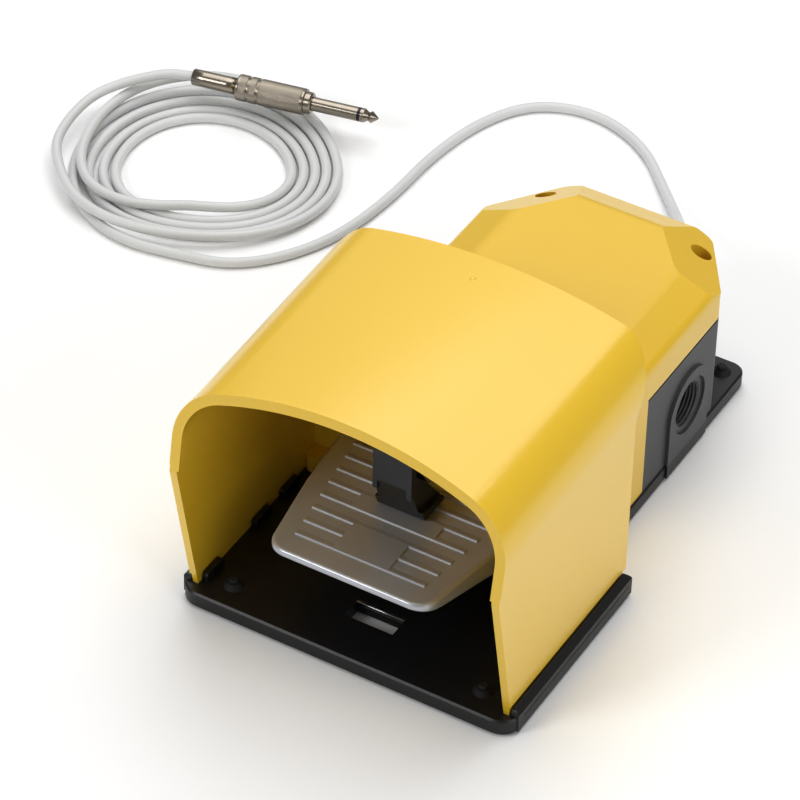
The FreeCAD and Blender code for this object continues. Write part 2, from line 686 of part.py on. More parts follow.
def housing():
    """Lower housing: a tub with cut-off rear corners, an arched pad and a threaded entry on each side."""
    tub = plan_prism(0, HOUSING_FRONT, BASE_T, HOUSING_TOP)
    room = plan_prism(HOUSING_WALL, HOUSING_FRONT + HOUSING_WALL, BASE_T + HOUSING_WALL, HOUSING_TOP + 1)
    tub = tub.cut(room)
    y0, y1 = ENTRY_Y - PAD_R, ENTRY_Y + PAD_R
    arch = [(y0, BASE_T, 0), (y1, BASE_T, 0), (y1, ENTRY_Z + PAD_R, PAD_R - 0.2), (y0, ENTRY_Z + PAD_R, PAD_R - 0.2)]
    pad = prism(arch, "yz", HOUSING_HALF - 1, HOUSING_HALF + PAD_T)
    boss = entry_bore(ENTRY_BOSS_R, HOUSING_HALF - HOUSING_WALL - ENTRY_BOSS_D, HOUSING_HALF - 1)
    solids = both_sides(pad) + both_sides(boss)
    inside = plan_prism(0.5, HOUSING_FRONT, BASE_T, HOUSING_TOP)
    for place in cover_screw_places():
        solids.append(rod(COVER_BOSS_R, place + Vector(0, 0, BASE_T), place + Vector(0, 0, HOUSING_TOP)).common(inside))
    front = Vector(FRONT_SCREW_X, FRONT_SCREW_Y, BASE_T)
    solids += both_sides(rod(HOUSING_BOSS_R, front, front + Vector(0, 0, HOUSING_BOSS_H)))
    for x in (-ARM_X, ARM_X):
        solids.append(box(x - BLOCK_W / 2 + 1, x + BLOCK_W / 2 - 1, BLOCK_Y + 2, BLOCK_Y + 6, BASE_T + 1, BLOCK_Z))
    tub = tub.multiFuse(solids)
    cuts = both_sides(entry_bore(ENTRY_R, HOUSING_HALF - 20, HOUSING_HALF + 5))
    cuts += both_sides(entry_bore(ENTRY_RING_R, HOUSING_HALF + PAD_T - ENTRY_RING_D, HOUSING_HALF + 5))
    push_z = PIVOT_Z - ARM_PUSH_R
    for x in (-ARM_X, ARM_X):
        cuts.append(rod(PLUNGER_R + SEAT, Vector(x, HOUSING_FRONT - 1, push_z), Vector(x, BLOCK_Y, push_z)))
        cuts.append(rod(SEAL_R, Vector(x, HOUSING_FRONT - 1, push_z), Vector(x, HOUSING_FRONT + SEAL_T, push_z)))
    cuts.append(rod(GLAND_THREAD_R + FIT, Vector(0, HOUSING_REAR - 8, GLAND_Z), Vector(0, HOUSING_REAR + 1, GLAND_Z)))
    for place in cover_screw_places():
        top = place + Vector(0, 0, HOUSING_TOP + 1)
        cuts.append(rod(COVER_SCREW_R + FIT, top - Vector(0, 0, COVER_SCREW_GRIP + 1), top))
    for x, y in ((FRONT_SCREW_X, FRONT_SCREW_Y), (COVER_SCREW_X, COVER_SCREW_Y)):
        start = Vector(x, y, BASE_T - PAST)
        cuts += both_sides(rod(TAP_R + FIT, start, start + Vector(0, 0, PAST + TAP_GRIP)))
    return tub.cut(Part.makeCompound(cuts))


def gasket():
    """Flat seal between the housing's rim and the cover."""
    rim = plan_prism(SEAT, HOUSING_FRONT + SEAT, HOUSING_TOP, COVER_BASE)
    rim = rim.cut(plan_prism(SEAT + GASKET_W, HOUSING_FRONT + SEAT + GASKET_W, HOUSING_TOP - 1, COVER_BASE + 1))
    for place in cover_screw_places():
        low = place + Vector(0, 0, HOUSING_TOP)
        rim = rim.fuse(rod(COVER_BOSS_R - 1.2, low, low + Vector(0, 0, GASKET_T)))
        rim = rim.cut(rod(COVER_SCREW_R + SEAT, low - Vector(0, 0, 1), low + Vector(0, 0, GASKET_T + 1)))
    return rim.removeSplitter()


def cover_form(inset):
    """Outer or inner form of the cover: the plan, a crowned cross-section, a rear bevel and two corner facets."""
    half = HOUSING_HALF - inset
    across = [
        (half, 0, 0), (half, COVER_SHOULDER_Z - inset, COVER_SHOULDER_R),
        (COVER_PLATEAU_X - inset * 0.3, COVER_TOP - inset, COVER_PLATEAU_R),
    ]
    across += [(-a, b, r) for a, b, r in reversed(across)]
    along = [
        (BASE_FRONT_L + inset, 0, 0), (HOUSING_REAR - inset, 0, 0), (HOUSING_REAR - inset, COVER_REAR_Z - inset * 0.4, 2.0),
        (COVER_PLATEAU_Y - inset * 0.3, COVER_TOP - inset, COVER_REAR_R), (BASE_FRONT_L + inset, COVER_TOP - inset, 0),
    ]
    form = plan_prism(inset, BASE_FRONT_L + inset, 0, COVER_TOP + 5)
    form = form.common(prism(across, "xz", BASE_FRONT_L - 5, HOUSING_REAR + 5))
    form = form.common(prism(along, "yz", -HOUSING_W, HOUSING_W))
    normal = Vector(FACET_DROP_X, FACET_DROP_Y, 1).normalize()
    point = Vector(HOUSING_HALF, BEVEL_Y, FACET_Z) - normal * inset
    facet = above_plane(point, normal)
    return form.cut(Part.makeCompound(both_sides(facet)))


def cover():
    """Upper housing: a shell that closes the tub and reaches down to the base beside the hinge."""
    form = cover_form(0)
    solids = []
    for place in cover_screw_places():
        solids.append(rod(COVER_BOSS_R, place + Vector(0, 0, COVER_BASE), place + Vector(0, 0, COVER_TOP)).common(form))
    for side in (-1, 1):
        start = Vector(side * BACK_SCREW_X, BASE_FRONT_L, BACK_SCREW_Z)
        solids.append(rod(BACK_BOSS_R, start, start + Vector(0, BACK_BOSS_L, 0)).common(form))
    shell = form.cut(cover_form(COVER_WALL)).multiFuse(solids)
    cuts = [box(-HOUSING_W, HOUSING_W, HOUSING_FRONT, REACH, -1, COVER_BASE), box(-HOUSING_W, HOUSING_W, 0, REACH, -1, BASE_T)]
    cuts.append(mouth_cutter(MOUTH_STEP, COVER_WALL + PAST))
    for place in cover_screw_places():
        cuts.append(rod(COVER_SINK_R, place + Vector(0, 0, COVER_SINK_Z), place + Vector(0, 0, COVER_TOP + 1)))
        cuts.append(rod(COVER_SCREW_R + SEAT, place, place + Vector(0, 0, COVER_TOP)))
    for side in (-1, 1):
        start = Vector(side * BACK_SCREW_X, BASE_FRONT_L - 1, BACK_SCREW_Z)
        cuts.append(rod(TAP_R + FIT, start, start + Vector(0, BACK_BOSS_L - 1, 0)))
    return shell.cut(Part.makeCompound(cuts))


def cover_screw(place):
    """Pan-head screw with a cross recess, at the bottom of its deep counterbore."""
    seat = place + Vector(0, 0, COVER_SINK_Z)
    profile = [
        (-(COVER_SINK_Z - HOUSING_TOP + COVER_SCREW_GRIP) + 1, 0),
        (-(COVER_SINK_Z - HOUSING_TOP + COVER_SCREW_GRIP) + 1, COVER_SCREW_R - 0.8),
        (-(COVER_SINK_Z - HOUSING_TOP + COVER_SCREW_GRIP) + 3, COVER_SCREW_R),
        (0, COVER_SCREW_R), (0, COVER_HEAD_R), (COVER_HEAD_H - 0.9, COVER_HEAD_R), (COVER_HEAD_H, COVER_HEAD_R - 1.2),
        (COVER_HEAD_H, 0),
    ]
    screw = turned(profile, seat, Vector(0, 0, 1))
    top = seat.z + COVER_HEAD_H
    arms = [box(place.x - 2.0, place.x + 2.0, place.y - 0.45, place.y + 0.45, top - 1.3, top + 1),
            box(place.x - 0.45, place.x + 0.45, place.y - 2.0, place.y + 2.0, top - 1.3, top + 1)]
    return screw.cut(arms[0].fuse(arms[1]))


# Pedal

def pedal_plan(inset, rear):
    """Plan of the pedal, wider towards the rear."""
    right = [
        (PEDAL_FRONT_HALF - inset, PEDAL_FRONT + inset, max(PEDAL_CORNER_R - inset, 1.0)),
        (PEDAL_MID_HALF - inset, PEDAL_MID_Y, 0),
        (PEDAL_WIDE_HALF - inset, PEDAL_WIDE_Y, 0),
        (PEDAL_TAIL_HALF - inset, rear, 0),
    ]
    return right + [(-x, y, r) for x, y, r in reversed(right)]


def pedal_side():
    """Side view of the pedal: flat tread, sloping skirt and a round tail about the hinge."""
    low = PIVOT_Z - PEDAL_TAIL_R
    return [
        (PEDAL_FRONT - 1, SKIRT_FRONT_Z, 0), (PEDAL_FRONT - 1, PEDAL_TOP, 0),
        (PIVOT_Y - 2, PEDAL_TOP, 8.0), (PIVOT_Y + PEDAL_TAIL_R, PIVOT_Z + 6, 4.0),
        (PIVOT_Y + PEDAL_TAIL_R, low, PEDAL_TAIL_R - 1), (PIVOT_Y - 14, low, 8.0),
        (SKIRT_DEEP_Y, SKIRT_DEEP_Z, 20.0), (SKIRT_MID_Y, SKIRT_MID_Z, 6.0),
    ]


def tread_bar(y0, y1, half):
    """Raised bar across the tread, steep in front and sloping behind."""
    low, top = PEDAL_TOP - PAST, PEDAL_TOP + RIB_H
    points = [(y0, low), (y0, PEDAL_TOP), (y0 + RIB_FRONT, top), (y1 - RIB_BACK, top), (y1, PEDAL_TOP), (y1, low)]
    return prism(sharp(points), "yz", -half, half)


def pedal():
    """Cast pedal: a flanged tray with raised tread bars, two raised pads and hinge bosses."""
    rear = PIVOT_Y + PEDAL_TAIL_R
    body = prism(pedal_plan(0, rear), "xy", 0, PEDAL_TOP).common(prism(pedal_side(), "yz", -BASE_W, BASE_W))
    top = [e for e in body.Edges if e.BoundBox.ZMin > PEDAL_TOP - 0.01 and e.BoundBox.YMax < PEDAL_WIDE_Y + 0.1]
    body = body.makeFillet(PEDAL_EDGE_R, top)
    room = prism(pedal_plan(PEDAL_T, rear + 5), "xy", 0, PEDAL_TOP - PEDAL_T)
    limit = [(0, 0, 0), (0, PEDAL_TOP - PEDAL_T, 0), (PIVOT_Y - 4, PEDAL_TOP - PEDAL_T, 6.0),
             (rear - 6, PIVOT_Z + 6, 0), (rear + 5, PIVOT_Z + 6, 0), (rear + 5, 0, 0)]
    inner = PEDAL_TAIL_HALF - PEDAL_T
    body = body.cut(room.common(prism(limit, "yz", -BASE_W, BASE_W)))
    body = body.cut(hinge_rod(BUSH_R + POST_WALL + POST_GAP, -inner, inner))
    bars = []
    for row in range(RIB_COUNT):
        y = RIB_FIRST + RIB_PITCH * row
        bars.append(tread_bar(y, y + RIB_W, RIB_HALF + RIB_SPREAD * (y - RIB_FIRST)))
    for half, (first, last) in ((PAD_A_HALF, PAD_A_ROWS), (PAD_B_HALF, PAD_B_ROWS)):
        y0 = RIB_FIRST + RIB_PITCH * first
        bars.append(tread_bar(y0, RIB_FIRST + RIB_PITCH * last + RIB_W, half))
    boss = hinge_rod(PEDAL_BOSS_R, inner - 1.0, PEDAL_TAIL_HALF)
    seat = rod(SPRING_SEAT_R, Vector(0, SPRING_Y, PEDAL_TOP - PEDAL_T - SPRING_SEAT_H), Vector(0, SPRING_Y, PEDAL_TOP - 1))
    body = body.multiFuse(bars + both_sides(boss) + [seat]).removeSplitter()
    cuts = [hinge_rod(SHAFT_R + SHAFT_GRIP, -BASE_W, BASE_W)]
    foot_y = PIVOT_Y - ARM_HUB_R - ARM_FOOT_L / 2
    for x in (-ARM_SCREW_X, ARM_SCREW_X):
        cuts.append(rod(TAP_R + FIT, Vector(x, foot_y, PEDAL_TOP - PEDAL_T - 1), Vector(x, foot_y, PEDAL_TOP + 1)))
    return body.cut(Part.makeCompound(cuts))


def pedal_shaft():
    """Hinge shaft with a groove near each end for its retaining ring."""
    shaft = rod(SHAFT_R, Vector(-SHAFT_HALF, PIVOT_Y, PIVOT_Z), Vector(SHAFT_HALF, PIVOT_Y, PIVOT_Z))
    for side in both_sides(ring_blank(SHAFT_R + 1)):
        shaft = shaft.cut(side.cut(rod(SHAFT_R - 0.6, Vector(-BASE_W, PIVOT_Y, PIVOT_Z), Vector(BASE_W, PIVOT_Y, PIVOT_Z))))
    shaft = shaft.fuse(rod(SHAFT_R - 0.6, Vector(-SHAFT_HALF, PIVOT_Y, PIVOT_Z), Vector(SHAFT_HALF, PIVOT_Y, PIVOT_Z)))
    return shaft.removeSplitter()


def ring_blank(radius):
    """Disc in the shaft's ring groove, on the right side."""
    start = PEDAL_TAIL_HALF + 0.1
    return rod(radius, Vector(start, PIVOT_Y, PIVOT_Z), Vector(start + RING_T, PIVOT_Y, PIVOT_Z))


def retaining_ring():
    """Open spring ring that holds the shaft endways."""
    start, end = Vector(0, PIVOT_Y, PIVOT_Z), Vector(BASE_W, PIVOT_Y, PIVOT_Z)
    ring = ring_blank(RING_R).cut(rod(SHAFT_R - 0.6 + FIT, start, end))
    return ring.cut(box(0, BASE_W, PIVOT_Y - 2.2, PIVOT_Y + 2.2, PIVOT_Z - RING_R - 1, PIVOT_Z))


def shaft_bush():
    """Flanged plastic bush in the right-hand post."""
    profile = [
        (-BUSH_FLANGE_T, SHAFT_R + FIT), (-BUSH_FLANGE_T, BUSH_FLANGE_R), (0, BUSH_FLANGE_R), (0, BUSH_R),
        (POST_T, BUSH_R), (POST_T, SHAFT_R + FIT),
    ]
    return turned(profile, Vector(POST_X, PIVOT_Y, PIVOT_Z), Vector(1, 0, 0))


# Switch drive and contacts

def actuator_arm():
    """Arm clamped under the tread round the shaft, with two round noses that push the plungers."""
    push_z = PIVOT_Z - ARM_PUSH_R
    top = PEDAL_TOP - PEDAL_T
    hub = rod(ARM_HUB_R, Vector(-ARM_HUB_HALF, PIVOT_Y, PIVOT_Z), Vector(ARM_HUB_HALF, PIVOT_Y, PIVOT_Z))
    web = [(PIVOT_Y - ARM_HUB_R - ARM_FOOT_L, top, 0), (PIVOT_Y - ARM_HUB_R - ARM_FOOT_L, top - ARM_FOOT_T, 0),
           (PIVOT_Y - ARM_HUB_R - 1, top - ARM_FOOT_T, 0), (PIVOT_Y - ARM_HUB_R + 0.5, PIVOT_Z - 1, 0),
           (PIVOT_Y, PIVOT_Z, 0), (PIVOT_Y, PIVOT_Z + ARM_HUB_R - 0.5, 0), (PIVOT_Y - ARM_HUB_R - 2, top, 0)]
    solids = [prism(web, "yz", -ARM_HUB_HALF, ARM_HUB_HALF)]
    for x in (-ARM_X, ARM_X):
        finger = [(PIVOT_Y - ARM_NOSE_R, PIVOT_Z, 0), (PIVOT_Y + ARM_NOSE_R, PIVOT_Z, 0),
                  (PIVOT_Y + ARM_NOSE_R, push_z, 0), (PIVOT_Y - ARM_NOSE_R, push_z, 0)]
        solids.append(prism(finger, "yz", x - ARM_T / 2, x + ARM_T / 2))
        solids.append(rod(ARM_NOSE_R, Vector(x - ARM_T / 2, PIVOT_Y, push_z), Vector(x + ARM_T / 2, PIVOT_Y, push_z)))
    arm = hub.multiFuse(solids).removeSplitter()
    cuts = [hinge_rod(SHAFT_R + SHAFT_GRIP, -BASE_W, BASE_W)]
    foot_y = PIVOT_Y - ARM_HUB_R - ARM_FOOT_L / 2
    for x in (-ARM_SCREW_X, ARM_SCREW_X):
        cuts.append(rod(TAP_R + FIT, Vector(x, foot_y, 0), Vector(x, foot_y, top + 1)))
    return arm.cut(Part.makeCompound(cuts))


def arm_screws():
    seat = PEDAL_TOP - PEDAL_T - ARM_FOOT_T
    foot_y = PIVOT_Y - ARM_HUB_R - ARM_FOOT_L / 2
    grip = ARM_FOOT_T + PEDAL_T - 0.4
    return [tapping_screw(Vector(x, foot_y, seat), Vector(0, 0, 1), grip) for x in (-ARM_SCREW_X, ARM_SCREW_X)]


def plunger(x):
    """Plunger with a flat head in front of the arm's nose, guided in the wall seal and the contact block."""
    start = PIVOT_Y + ARM_NOSE_R + SEAT
    end = BLOCK_Y + BLOCK_BORE_D - PLUNGER_TRAVEL - 0.6
    length = end - start
    profile = [
        (0, 0), (0, PLUNGER_HEAD_R - 0.6), (0.6, PLUNGER_HEAD_R), (PLUNGER_HEAD_T, PLUNGER_HEAD_R),
        (PLUNGER_HEAD_T, PLUNGER_R), (length - 0.5, PLUNGER_R), (length, PLUNGER_R - 0.5), (length, 0),
    ]
    return turned(profile, Vector(x, start, PIVOT_Z - ARM_PUSH_R), Vector(0, 1, 0))


def plunger_seal(x):
    """Rubber ring in the housing's front wall round one plunger."""
    profile = [(0, PLUNGER_R + FIT), (0, SEAL_R), (SEAL_T, SEAL_R), (SEAL_T, PLUNGER_R + FIT)]
    return turned(profile, Vector(x, HOUSING_FRONT, PIVOT_Z - ARM_PUSH_R), Vector(0, 1, 0))


def contact_block(x):
    """Snap-action contact block: a stepped case with a plunger bore and two terminals on the step."""
    y0, y1, z0, z1 = BLOCK_Y, BLOCK_Y + BLOCK_L, BLOCK_Z, BLOCK_Z + BLOCK_H
    side = [(y0, z0, 0), (y1, z0, 0), (y1, z1 - BLOCK_STEP_H, 1.0), (y1 - BLOCK_STEP_L, z1 - BLOCK_STEP_H, 0),
            (y1 - BLOCK_STEP_L, z1, 1.5), (y0, z1, 1.5)]
    block = prism(side, "yz", x - BLOCK_W / 2 + 0.5, x + BLOCK_W / 2 - 0.5)
    wall = box(x - 0.8, x + 0.8, y1 - BLOCK_STEP_L - 1, y1 - 1.5, z1 - BLOCK_STEP_H - 1, z1 - 2)
    block = block.fuse(wall).removeSplitter()
    push_z = PIVOT_Z - ARM_PUSH_R
    cuts = [rod(PLUNGER_R + FIT, Vector(x, y0 - 1, push_z), Vector(x, y0 + BLOCK_BORE_D, push_z))]
    for dx in TERMINAL_XS:
        place = Vector(x + dx, y1 - BLOCK_STEP_L / 2, z1 - BLOCK_STEP_H)
        cuts.append(rod(1.5 + FIT, place - Vector(0, 0, 7), place + Vector(0, 0, 1)))
    return block.cut(Part.makeCompound(cuts))


def terminal_screw(x):
    """Slotted terminal screw with a square clamp washer."""
    z = BLOCK_Z + BLOCK_H - BLOCK_STEP_H
    y = BLOCK_Y + BLOCK_L - BLOCK_STEP_L / 2
    washer = box(x - 3.2, x + 3.2, y - 3.2, y + 3.2, z, z + 0.8)
    head = rod(BLOCK_TERMINAL_R, Vector(x, y, z + 0.8), Vector(x, y, z + 3.0))
    screw = washer.multiFuse([head, rod(1.5, Vector(x, y, z - 6), Vector(x, y, z + 1))]).removeSplitter()
    return screw.cut(box(x - 0.4, x + 0.4, y - 4, y + 4, z + 2.0, z + 4))


# Springs

def coil_spring(origin, direction, radius, wire_r, turns, length):
    """Helical spring between two seats, its wire drawn with six flat sides."""
    pitch = (length - 2 * wire_r) / turns
    helix = Part.makeHelix(pitch, pitch * turns, radius)
    corners = []
    for i in range(7):
        angle = math.radians(60 * i)
        corners.append(Vector(radius + wire_r * math.cos(angle), 0, wire_r * math.sin(angle)))
    pipe = Part.Wire(helix).makePipeShell([Part.makePolygon(corners)], True, True)
    pipe.translate(Vector(0, 0, wire_r))
    pipe.Placement = FreeCAD.Placement(origin, Rotation(Vector(0, 0, 1), direction)).multiply(pipe.Placement)
    return pipe


# Safety lever

def lever_side():
    """Side view of the lever's cheek, a triangle between the front plate and the heel."""
    y0 = LEVER_PIN_Y - LEVER_HUB_R
    return [
        (y0, LEVER_BEND_Z, 0), (LEVER_TIP_Y, LEVER_TIP_Z, 0), (LEVER_HEEL_Y, LEVER_TIP_Z, 0),
        (LEVER_HEEL_Y, LEVER_TIP_Z + 2.0, 1.0), (y0 + 11.0, LEVER_BEND_Z - 2.0, 14.0), (y0, LEVER_CHEEK_TOP + 4, 0),
    ]


def safety_lever():
    """Channel-shaped lever hung from the roof: front plate, two cheeks at the foot and a hub at the top."""
    y0 = LEVER_PIN_Y - LEVER_HUB_R
    bend, tip = LEVER_BEND_Z, LEVER_TIP_Z
    hub_z = LEVER_PIN_Z
    slant = (LEVER_TIP_Y - y0) / (bend - tip)
    plate = [(y0, hub_z, 0), (y0, bend, 5.0), (LEVER_TIP_Y, tip, 0), (LEVER_TIP_Y + LEVER_T + 0.4, tip, 0),
             (y0 + LEVER_T, bend + LEVER_T * slant * 0.6, 5.0), (y0 + LEVER_T, hub_z, 0)]
    front = prism(plate, "yz", -LEVER_HALF, LEVER_HALF)
    flange_top = hub_z - LEVER_SPRING_R - LEVER_SPRING_WIRE_R - SEAT
    flange_y = y0 + LEVER_FLANGE
    flange = prism(sharp([(y0, bend - 4), (flange_y, bend - 4), (flange_y, flange_top), (y0, flange_top)]),
                   "yz", LEVER_HALF - LEVER_T, LEVER_HALF)
    cheek = prism(lever_side(), "yz", LEVER_HALF - LEVER_T, LEVER_HALF)
    foot_top = tip + 5.0
    foot = prism(sharp([(LEVER_TIP_Y, tip), (LEVER_HEEL_Y, tip), (LEVER_HEEL_Y, tip + 1.5),
                        (LEVER_TIP_Y - slant * 5.0, foot_top)]), "yz", LEVER_HALF - LEVER_T, LEVER_TIP_HALF)
    toe = prism(sharp([(LEVER_TIP_Y, tip), (LEVER_TIP_Y + LEVER_T, tip), (LEVER_TIP_Y + LEVER_T - slant * 3.0, tip + 3.0),
                       (LEVER_TIP_Y - slant * 3.0, tip + 3.0)]), "yz", -LEVER_TIP_HALF, LEVER_TIP_HALF)
    hub = rod(LEVER_HUB_R, Vector(-LEVER_HALF - 1.5, LEVER_PIN_Y, hub_z), Vector(LEVER_HALF - 6.0, LEVER_PIN_Y, hub_z))
    neck = prism(sharp([(y0, hub_z), (LEVER_PIN_Y, hub_z), (y0 + LEVER_T, hub_z - 14), (y0, hub_z - 14)]),
                 "yz", -LEVER_HALF, LEVER_HALF - 6.0)
    cradle = prism(sharp([(y0 + 1, 74), (y0 + 6, 78), (y0 + 6, 88), (y0 + 1, 90)]), "yz", -2.5, 2.5)
    solids = both_sides(flange) + both_sides(cheek) + both_sides(foot) + [toe, hub, neck, cradle]
    lever = front.multiFuse(solids).removeSplitter()
    bore = rod(LEVER_PIN_R + FIT, Vector(-BASE_W, LEVER_PIN_Y, hub_z), Vector(BASE_W, LEVER_PIN_Y, hub_z))
    return lever.cut(bore).cut(latch_form(FIT))


def latch_form(gap):
    """Cylinder parallel to the slanting foot of the lever, in its channel."""
    y0 = LEVER_PIN_Y - LEVER_HUB_R
    along = Vector(0, y0 - LEVER_TIP_Y, LEVER_BEND_Z - LEVER_TIP_Z).normalize()
    low = Vector(0, LATCH_LOW_Y, LATCH_LOW_Z)
    return rod(LATCH_R + gap, low - along * gap, low + along * (LATCH_L + gap))


def latch_roller():
    """Polished steel roller held in the lever's channel."""
    roller = latch_form(0)
    rims = [e for e in roller.Edges if e.Curve.TypeId == "Part::GeomCircle"]
    return roller.makeChamfer(LATCH_EDGE, rims)


def lever_pin():
    """Pin through both ears and the lever's hub, with a head at the left end."""
    end = LEVER_HALF + LEVER_T + EAR_GAP + EAR_T
    profile = [(-1.5, 0), (-1.5, LEVER_PIN_R + 1.0), (0, LEVER_PIN_R + 1.0), (0, LEVER_PIN_R),
               (2 * end + 1.5, LEVER_PIN_R), (2 * end + 2.0, LEVER_PIN_R - 0.5), (2 * end + 2.0, 0)]
    return turned(profile, Vector(-end - 0.05, LEVER_PIN_Y, LEVER_PIN_Z), Vector(1, 0, 0))


# Cable gland

def gland_pieces():
    """Body with its hexagon, lock nut inside the wall, seal and domed nut, on the axis of the rear entry."""
    axis = Vector(0, 1, 0)
    wall = Vector(0, HOUSING_REAR, GLAND_Z)
    inner = HOUSING_WALL + LOCKNUT_T + 1.5
    body = hexagon(GLAND_HEX_R, GLAND_HEX_T, wall, axis)
    body = body.multiFuse([
        rod(GLAND_THREAD_R, wall - axis * inner, wall + axis * 0.5),
        rod(GLAND_BODY_R, wall + axis * 0.5, wall + axis * (GLAND_HEX_T + GLAND_BODY_L)),
    ]).removeSplitter()
    body = body.cut(rod(5.2, wall - axis * (inner + 1), wall + axis * (GLAND_HEX_T + GLAND_BODY_L + 1)))
    locknut = hexagon(GLAND_HEX_R, LOCKNUT_T, wall - axis * (HOUSING_WALL + LOCKNUT_T), axis)
    locknut = locknut.cut(rod(GLAND_THREAD_R + FIT, wall - axis * 20, wall))
    nut_y = HOUSING_REAR + GLAND_HEX_T + 1.0
    start = Vector(0, nut_y, GLAND_Z)
    nut = hexagon(GLAND_NUT_R, GLAND_NUT_L, start, axis)
    dome = turned([(0, 0), (0, GLAND_NUT_R * 0.84), (GLAND_DOME_L * 0.6, GLAND_DOME_R + 1.6), (GLAND_DOME_L, GLAND_DOME_R),
                   (GLAND_DOME_L, 0)], start + axis * GLAND_NUT_L, axis)
    nut = nut.fuse(dome).removeSplitter()
    nut = nut.cut(rod(GLAND_BODY_R + FIT, start - axis, start + axis * (GLAND_NUT_L - 1.5)))
    nut = nut.cut(rod(GLAND_MOUTH_R + 1.2, start, start + axis * (GLAND_NUT_L + 1)))
    nut = nut.cut(rod(GLAND_MOUTH_R, start, start + axis * (GLAND_NUT_L + GLAND_DOME_L + 1)))
    seal = turned([(0, 0), (0, 5.0), (8.0, 5.0), (8.0, GLAND_MOUTH_R - 0.1), (GLAND_END - HOUSING_REAR - 3.0, GLAND_MOUTH_R - 0.1),
                   (GLAND_END - HOUSING_REAR - 3.0, 0)], wall + axis * 3.0, axis)
    return body, locknut, seal, nut


# Cord, coil and plug

def cord_tube():
    """Round tube along the route: straight runs joined by tangent arcs as large as the runs allow."""
    route = CORD_ROUTE
    edges = []
    here = route[0]
    radii = []
    for i in range(1, len(route) - 1):
        back, ahead = route[i - 1] - route[i], route[i + 1] - route[i]
        turn = math.pi - back.getAngle(ahead)
        radius = CORD_TURN * min(back.Length, ahead.Length) / math.tan(turn / 2)
        reach = radius * math.tan(turn / 2)
        back.normalize()
        ahead.normalize()
        start, end = route[i] + back * reach, route[i] + ahead * reach
        middle = (back + ahead).normalize()
        centre = route[i] + middle * (radius / math.cos(turn / 2))
        edges.append(Part.LineSegment(here, start).toShape())
        edges.append(Part.Arc(start, centre - middle * radius, end).toShape())
        here = end
        radii.append(round(radius, 1))
    edges.append(Part.LineSegment(here, route[-1]).toShape())
    path = Part.Wire(edges)
    section = Part.Wire(Part.makeCircle(CORD_D / 2, route[0], route[1] - route[0]))
    tube = path.makePipeShell([section], True, True)
    share = tube.Volume / (math.pi * CORD_D ** 2 / 4 * path.Length)
    print("cord radii", radii, "length", round(path.Length, 1), "volume share", round(share, 4))
    return tube


def cord_coil():
    """Ring that the loose turns of the cord fill, with bevelled edges."""
    low, high = FLOOR_Z, FLOOR_Z + COIL_H
    inner = COIL_R - COIL_BAND
    half = [(COIL_R - COIL_EDGE, low), (COIL_R, low + COIL_EDGE), (COIL_R, high - COIL_EDGE), (COIL_R - COIL_EDGE, high)]
    half += [(inner + COIL_EDGE, high), (inner, high - COIL_EDGE), (inner, low + COIL_EDGE), (inner + COIL_EDGE, low)]
    ring = Part.Face(outline(sharp(half), "xz", 0)).revolve(Vector(0, 0, 0), Vector(0, 0, 1), 360)
    ring.translate(Vector(COIL_X, COIL_Y, 0))
    return ring


def plug_pieces():
    """Jack plug on the coil: strain relief tube, barrel, collar and shaft sleeve, ring and pointed tip."""
    turn = math.radians(PLUG_HEADING)
    along = Vector(math.cos(turn), math.sin(turn), 0)
    start = PLUG_TAIL + Vector(0, 0, FLOOR_Z + COIL_H + PLUG_BARREL_R)
    relief = turned([(0, 0), (0, PLUG_RELIEF_R), (PLUG_RELIEF_L, PLUG_RELIEF_R), (PLUG_RELIEF_L, 0)], start, along)
    start = start + along * PLUG_RELIEF_L
    edge = 0.7
    barrel = turned([(0, 0), (0, PLUG_BARREL_R - edge), (edge, PLUG_BARREL_R), (5.0, PLUG_BARREL_R), (5.0, PLUG_BARREL_R - 0.6),
                     (6.0, PLUG_BARREL_R - 0.6), (6.0, PLUG_BARREL_R), (9.6, PLUG_BARREL_R), (9.6, PLUG_BARREL_R - 0.6),
                     (10.6, PLUG_BARREL_R - 0.6), (10.6, PLUG_BARREL_R), (PLUG_BARREL_L - edge, PLUG_BARREL_R),
                     (PLUG_BARREL_L, PLUG_BARREL_R - edge), (PLUG_BARREL_L, 0)], start, along)
    start = start + along * PLUG_BARREL_L
    sleeve = turned([(0, 0), (0, PLUG_COLLAR_R), (PLUG_COLLAR_L - edge, PLUG_COLLAR_R), (PLUG_COLLAR_L, PLUG_COLLAR_R - edge),
                     (PLUG_COLLAR_L, PLUG_SHAFT_R), (PLUG_COLLAR_L + PLUG_SLEEVE_L, PLUG_SHAFT_R),
                     (PLUG_COLLAR_L + PLUG_SLEEVE_L, 0)], start, along)
    start = start + along * (PLUG_COLLAR_L + PLUG_SLEEVE_L)
    ring = turned([(0, 0), (0, PLUG_SHAFT_R), (PLUG_RING_L, PLUG_SHAFT_R), (PLUG_RING_L, 0)], start, along)
    start = start + along * PLUG_RING_L
    tip = turned([(0, 0), (0, PLUG_SHAFT_R), (1.6, PLUG_SHAFT_R), (3.6, 1.9), (5.0, 2.75), (PLUG_TIP_L - 0.4, 0.6),
                  (PLUG_TIP_L, 0)], start, along)
    return relief, barrel, sleeve, ring, tip


def save(name, solids):
    """Writes one node, moved so that the floor is at z 0 and the part's box is centred front to back."""
    shape = solids[0] if len(solids) == 1 else Part.makeCompound(solids)
    shape = shape.copy()
    shape.translate(Vector(0, -Y_MID, FOOT_PROUD))
    shape.exportStep("parts/" + name + ".step")
    print(name, len(shape.Solids), shape.isValid(), round(shape.Volume, 1))


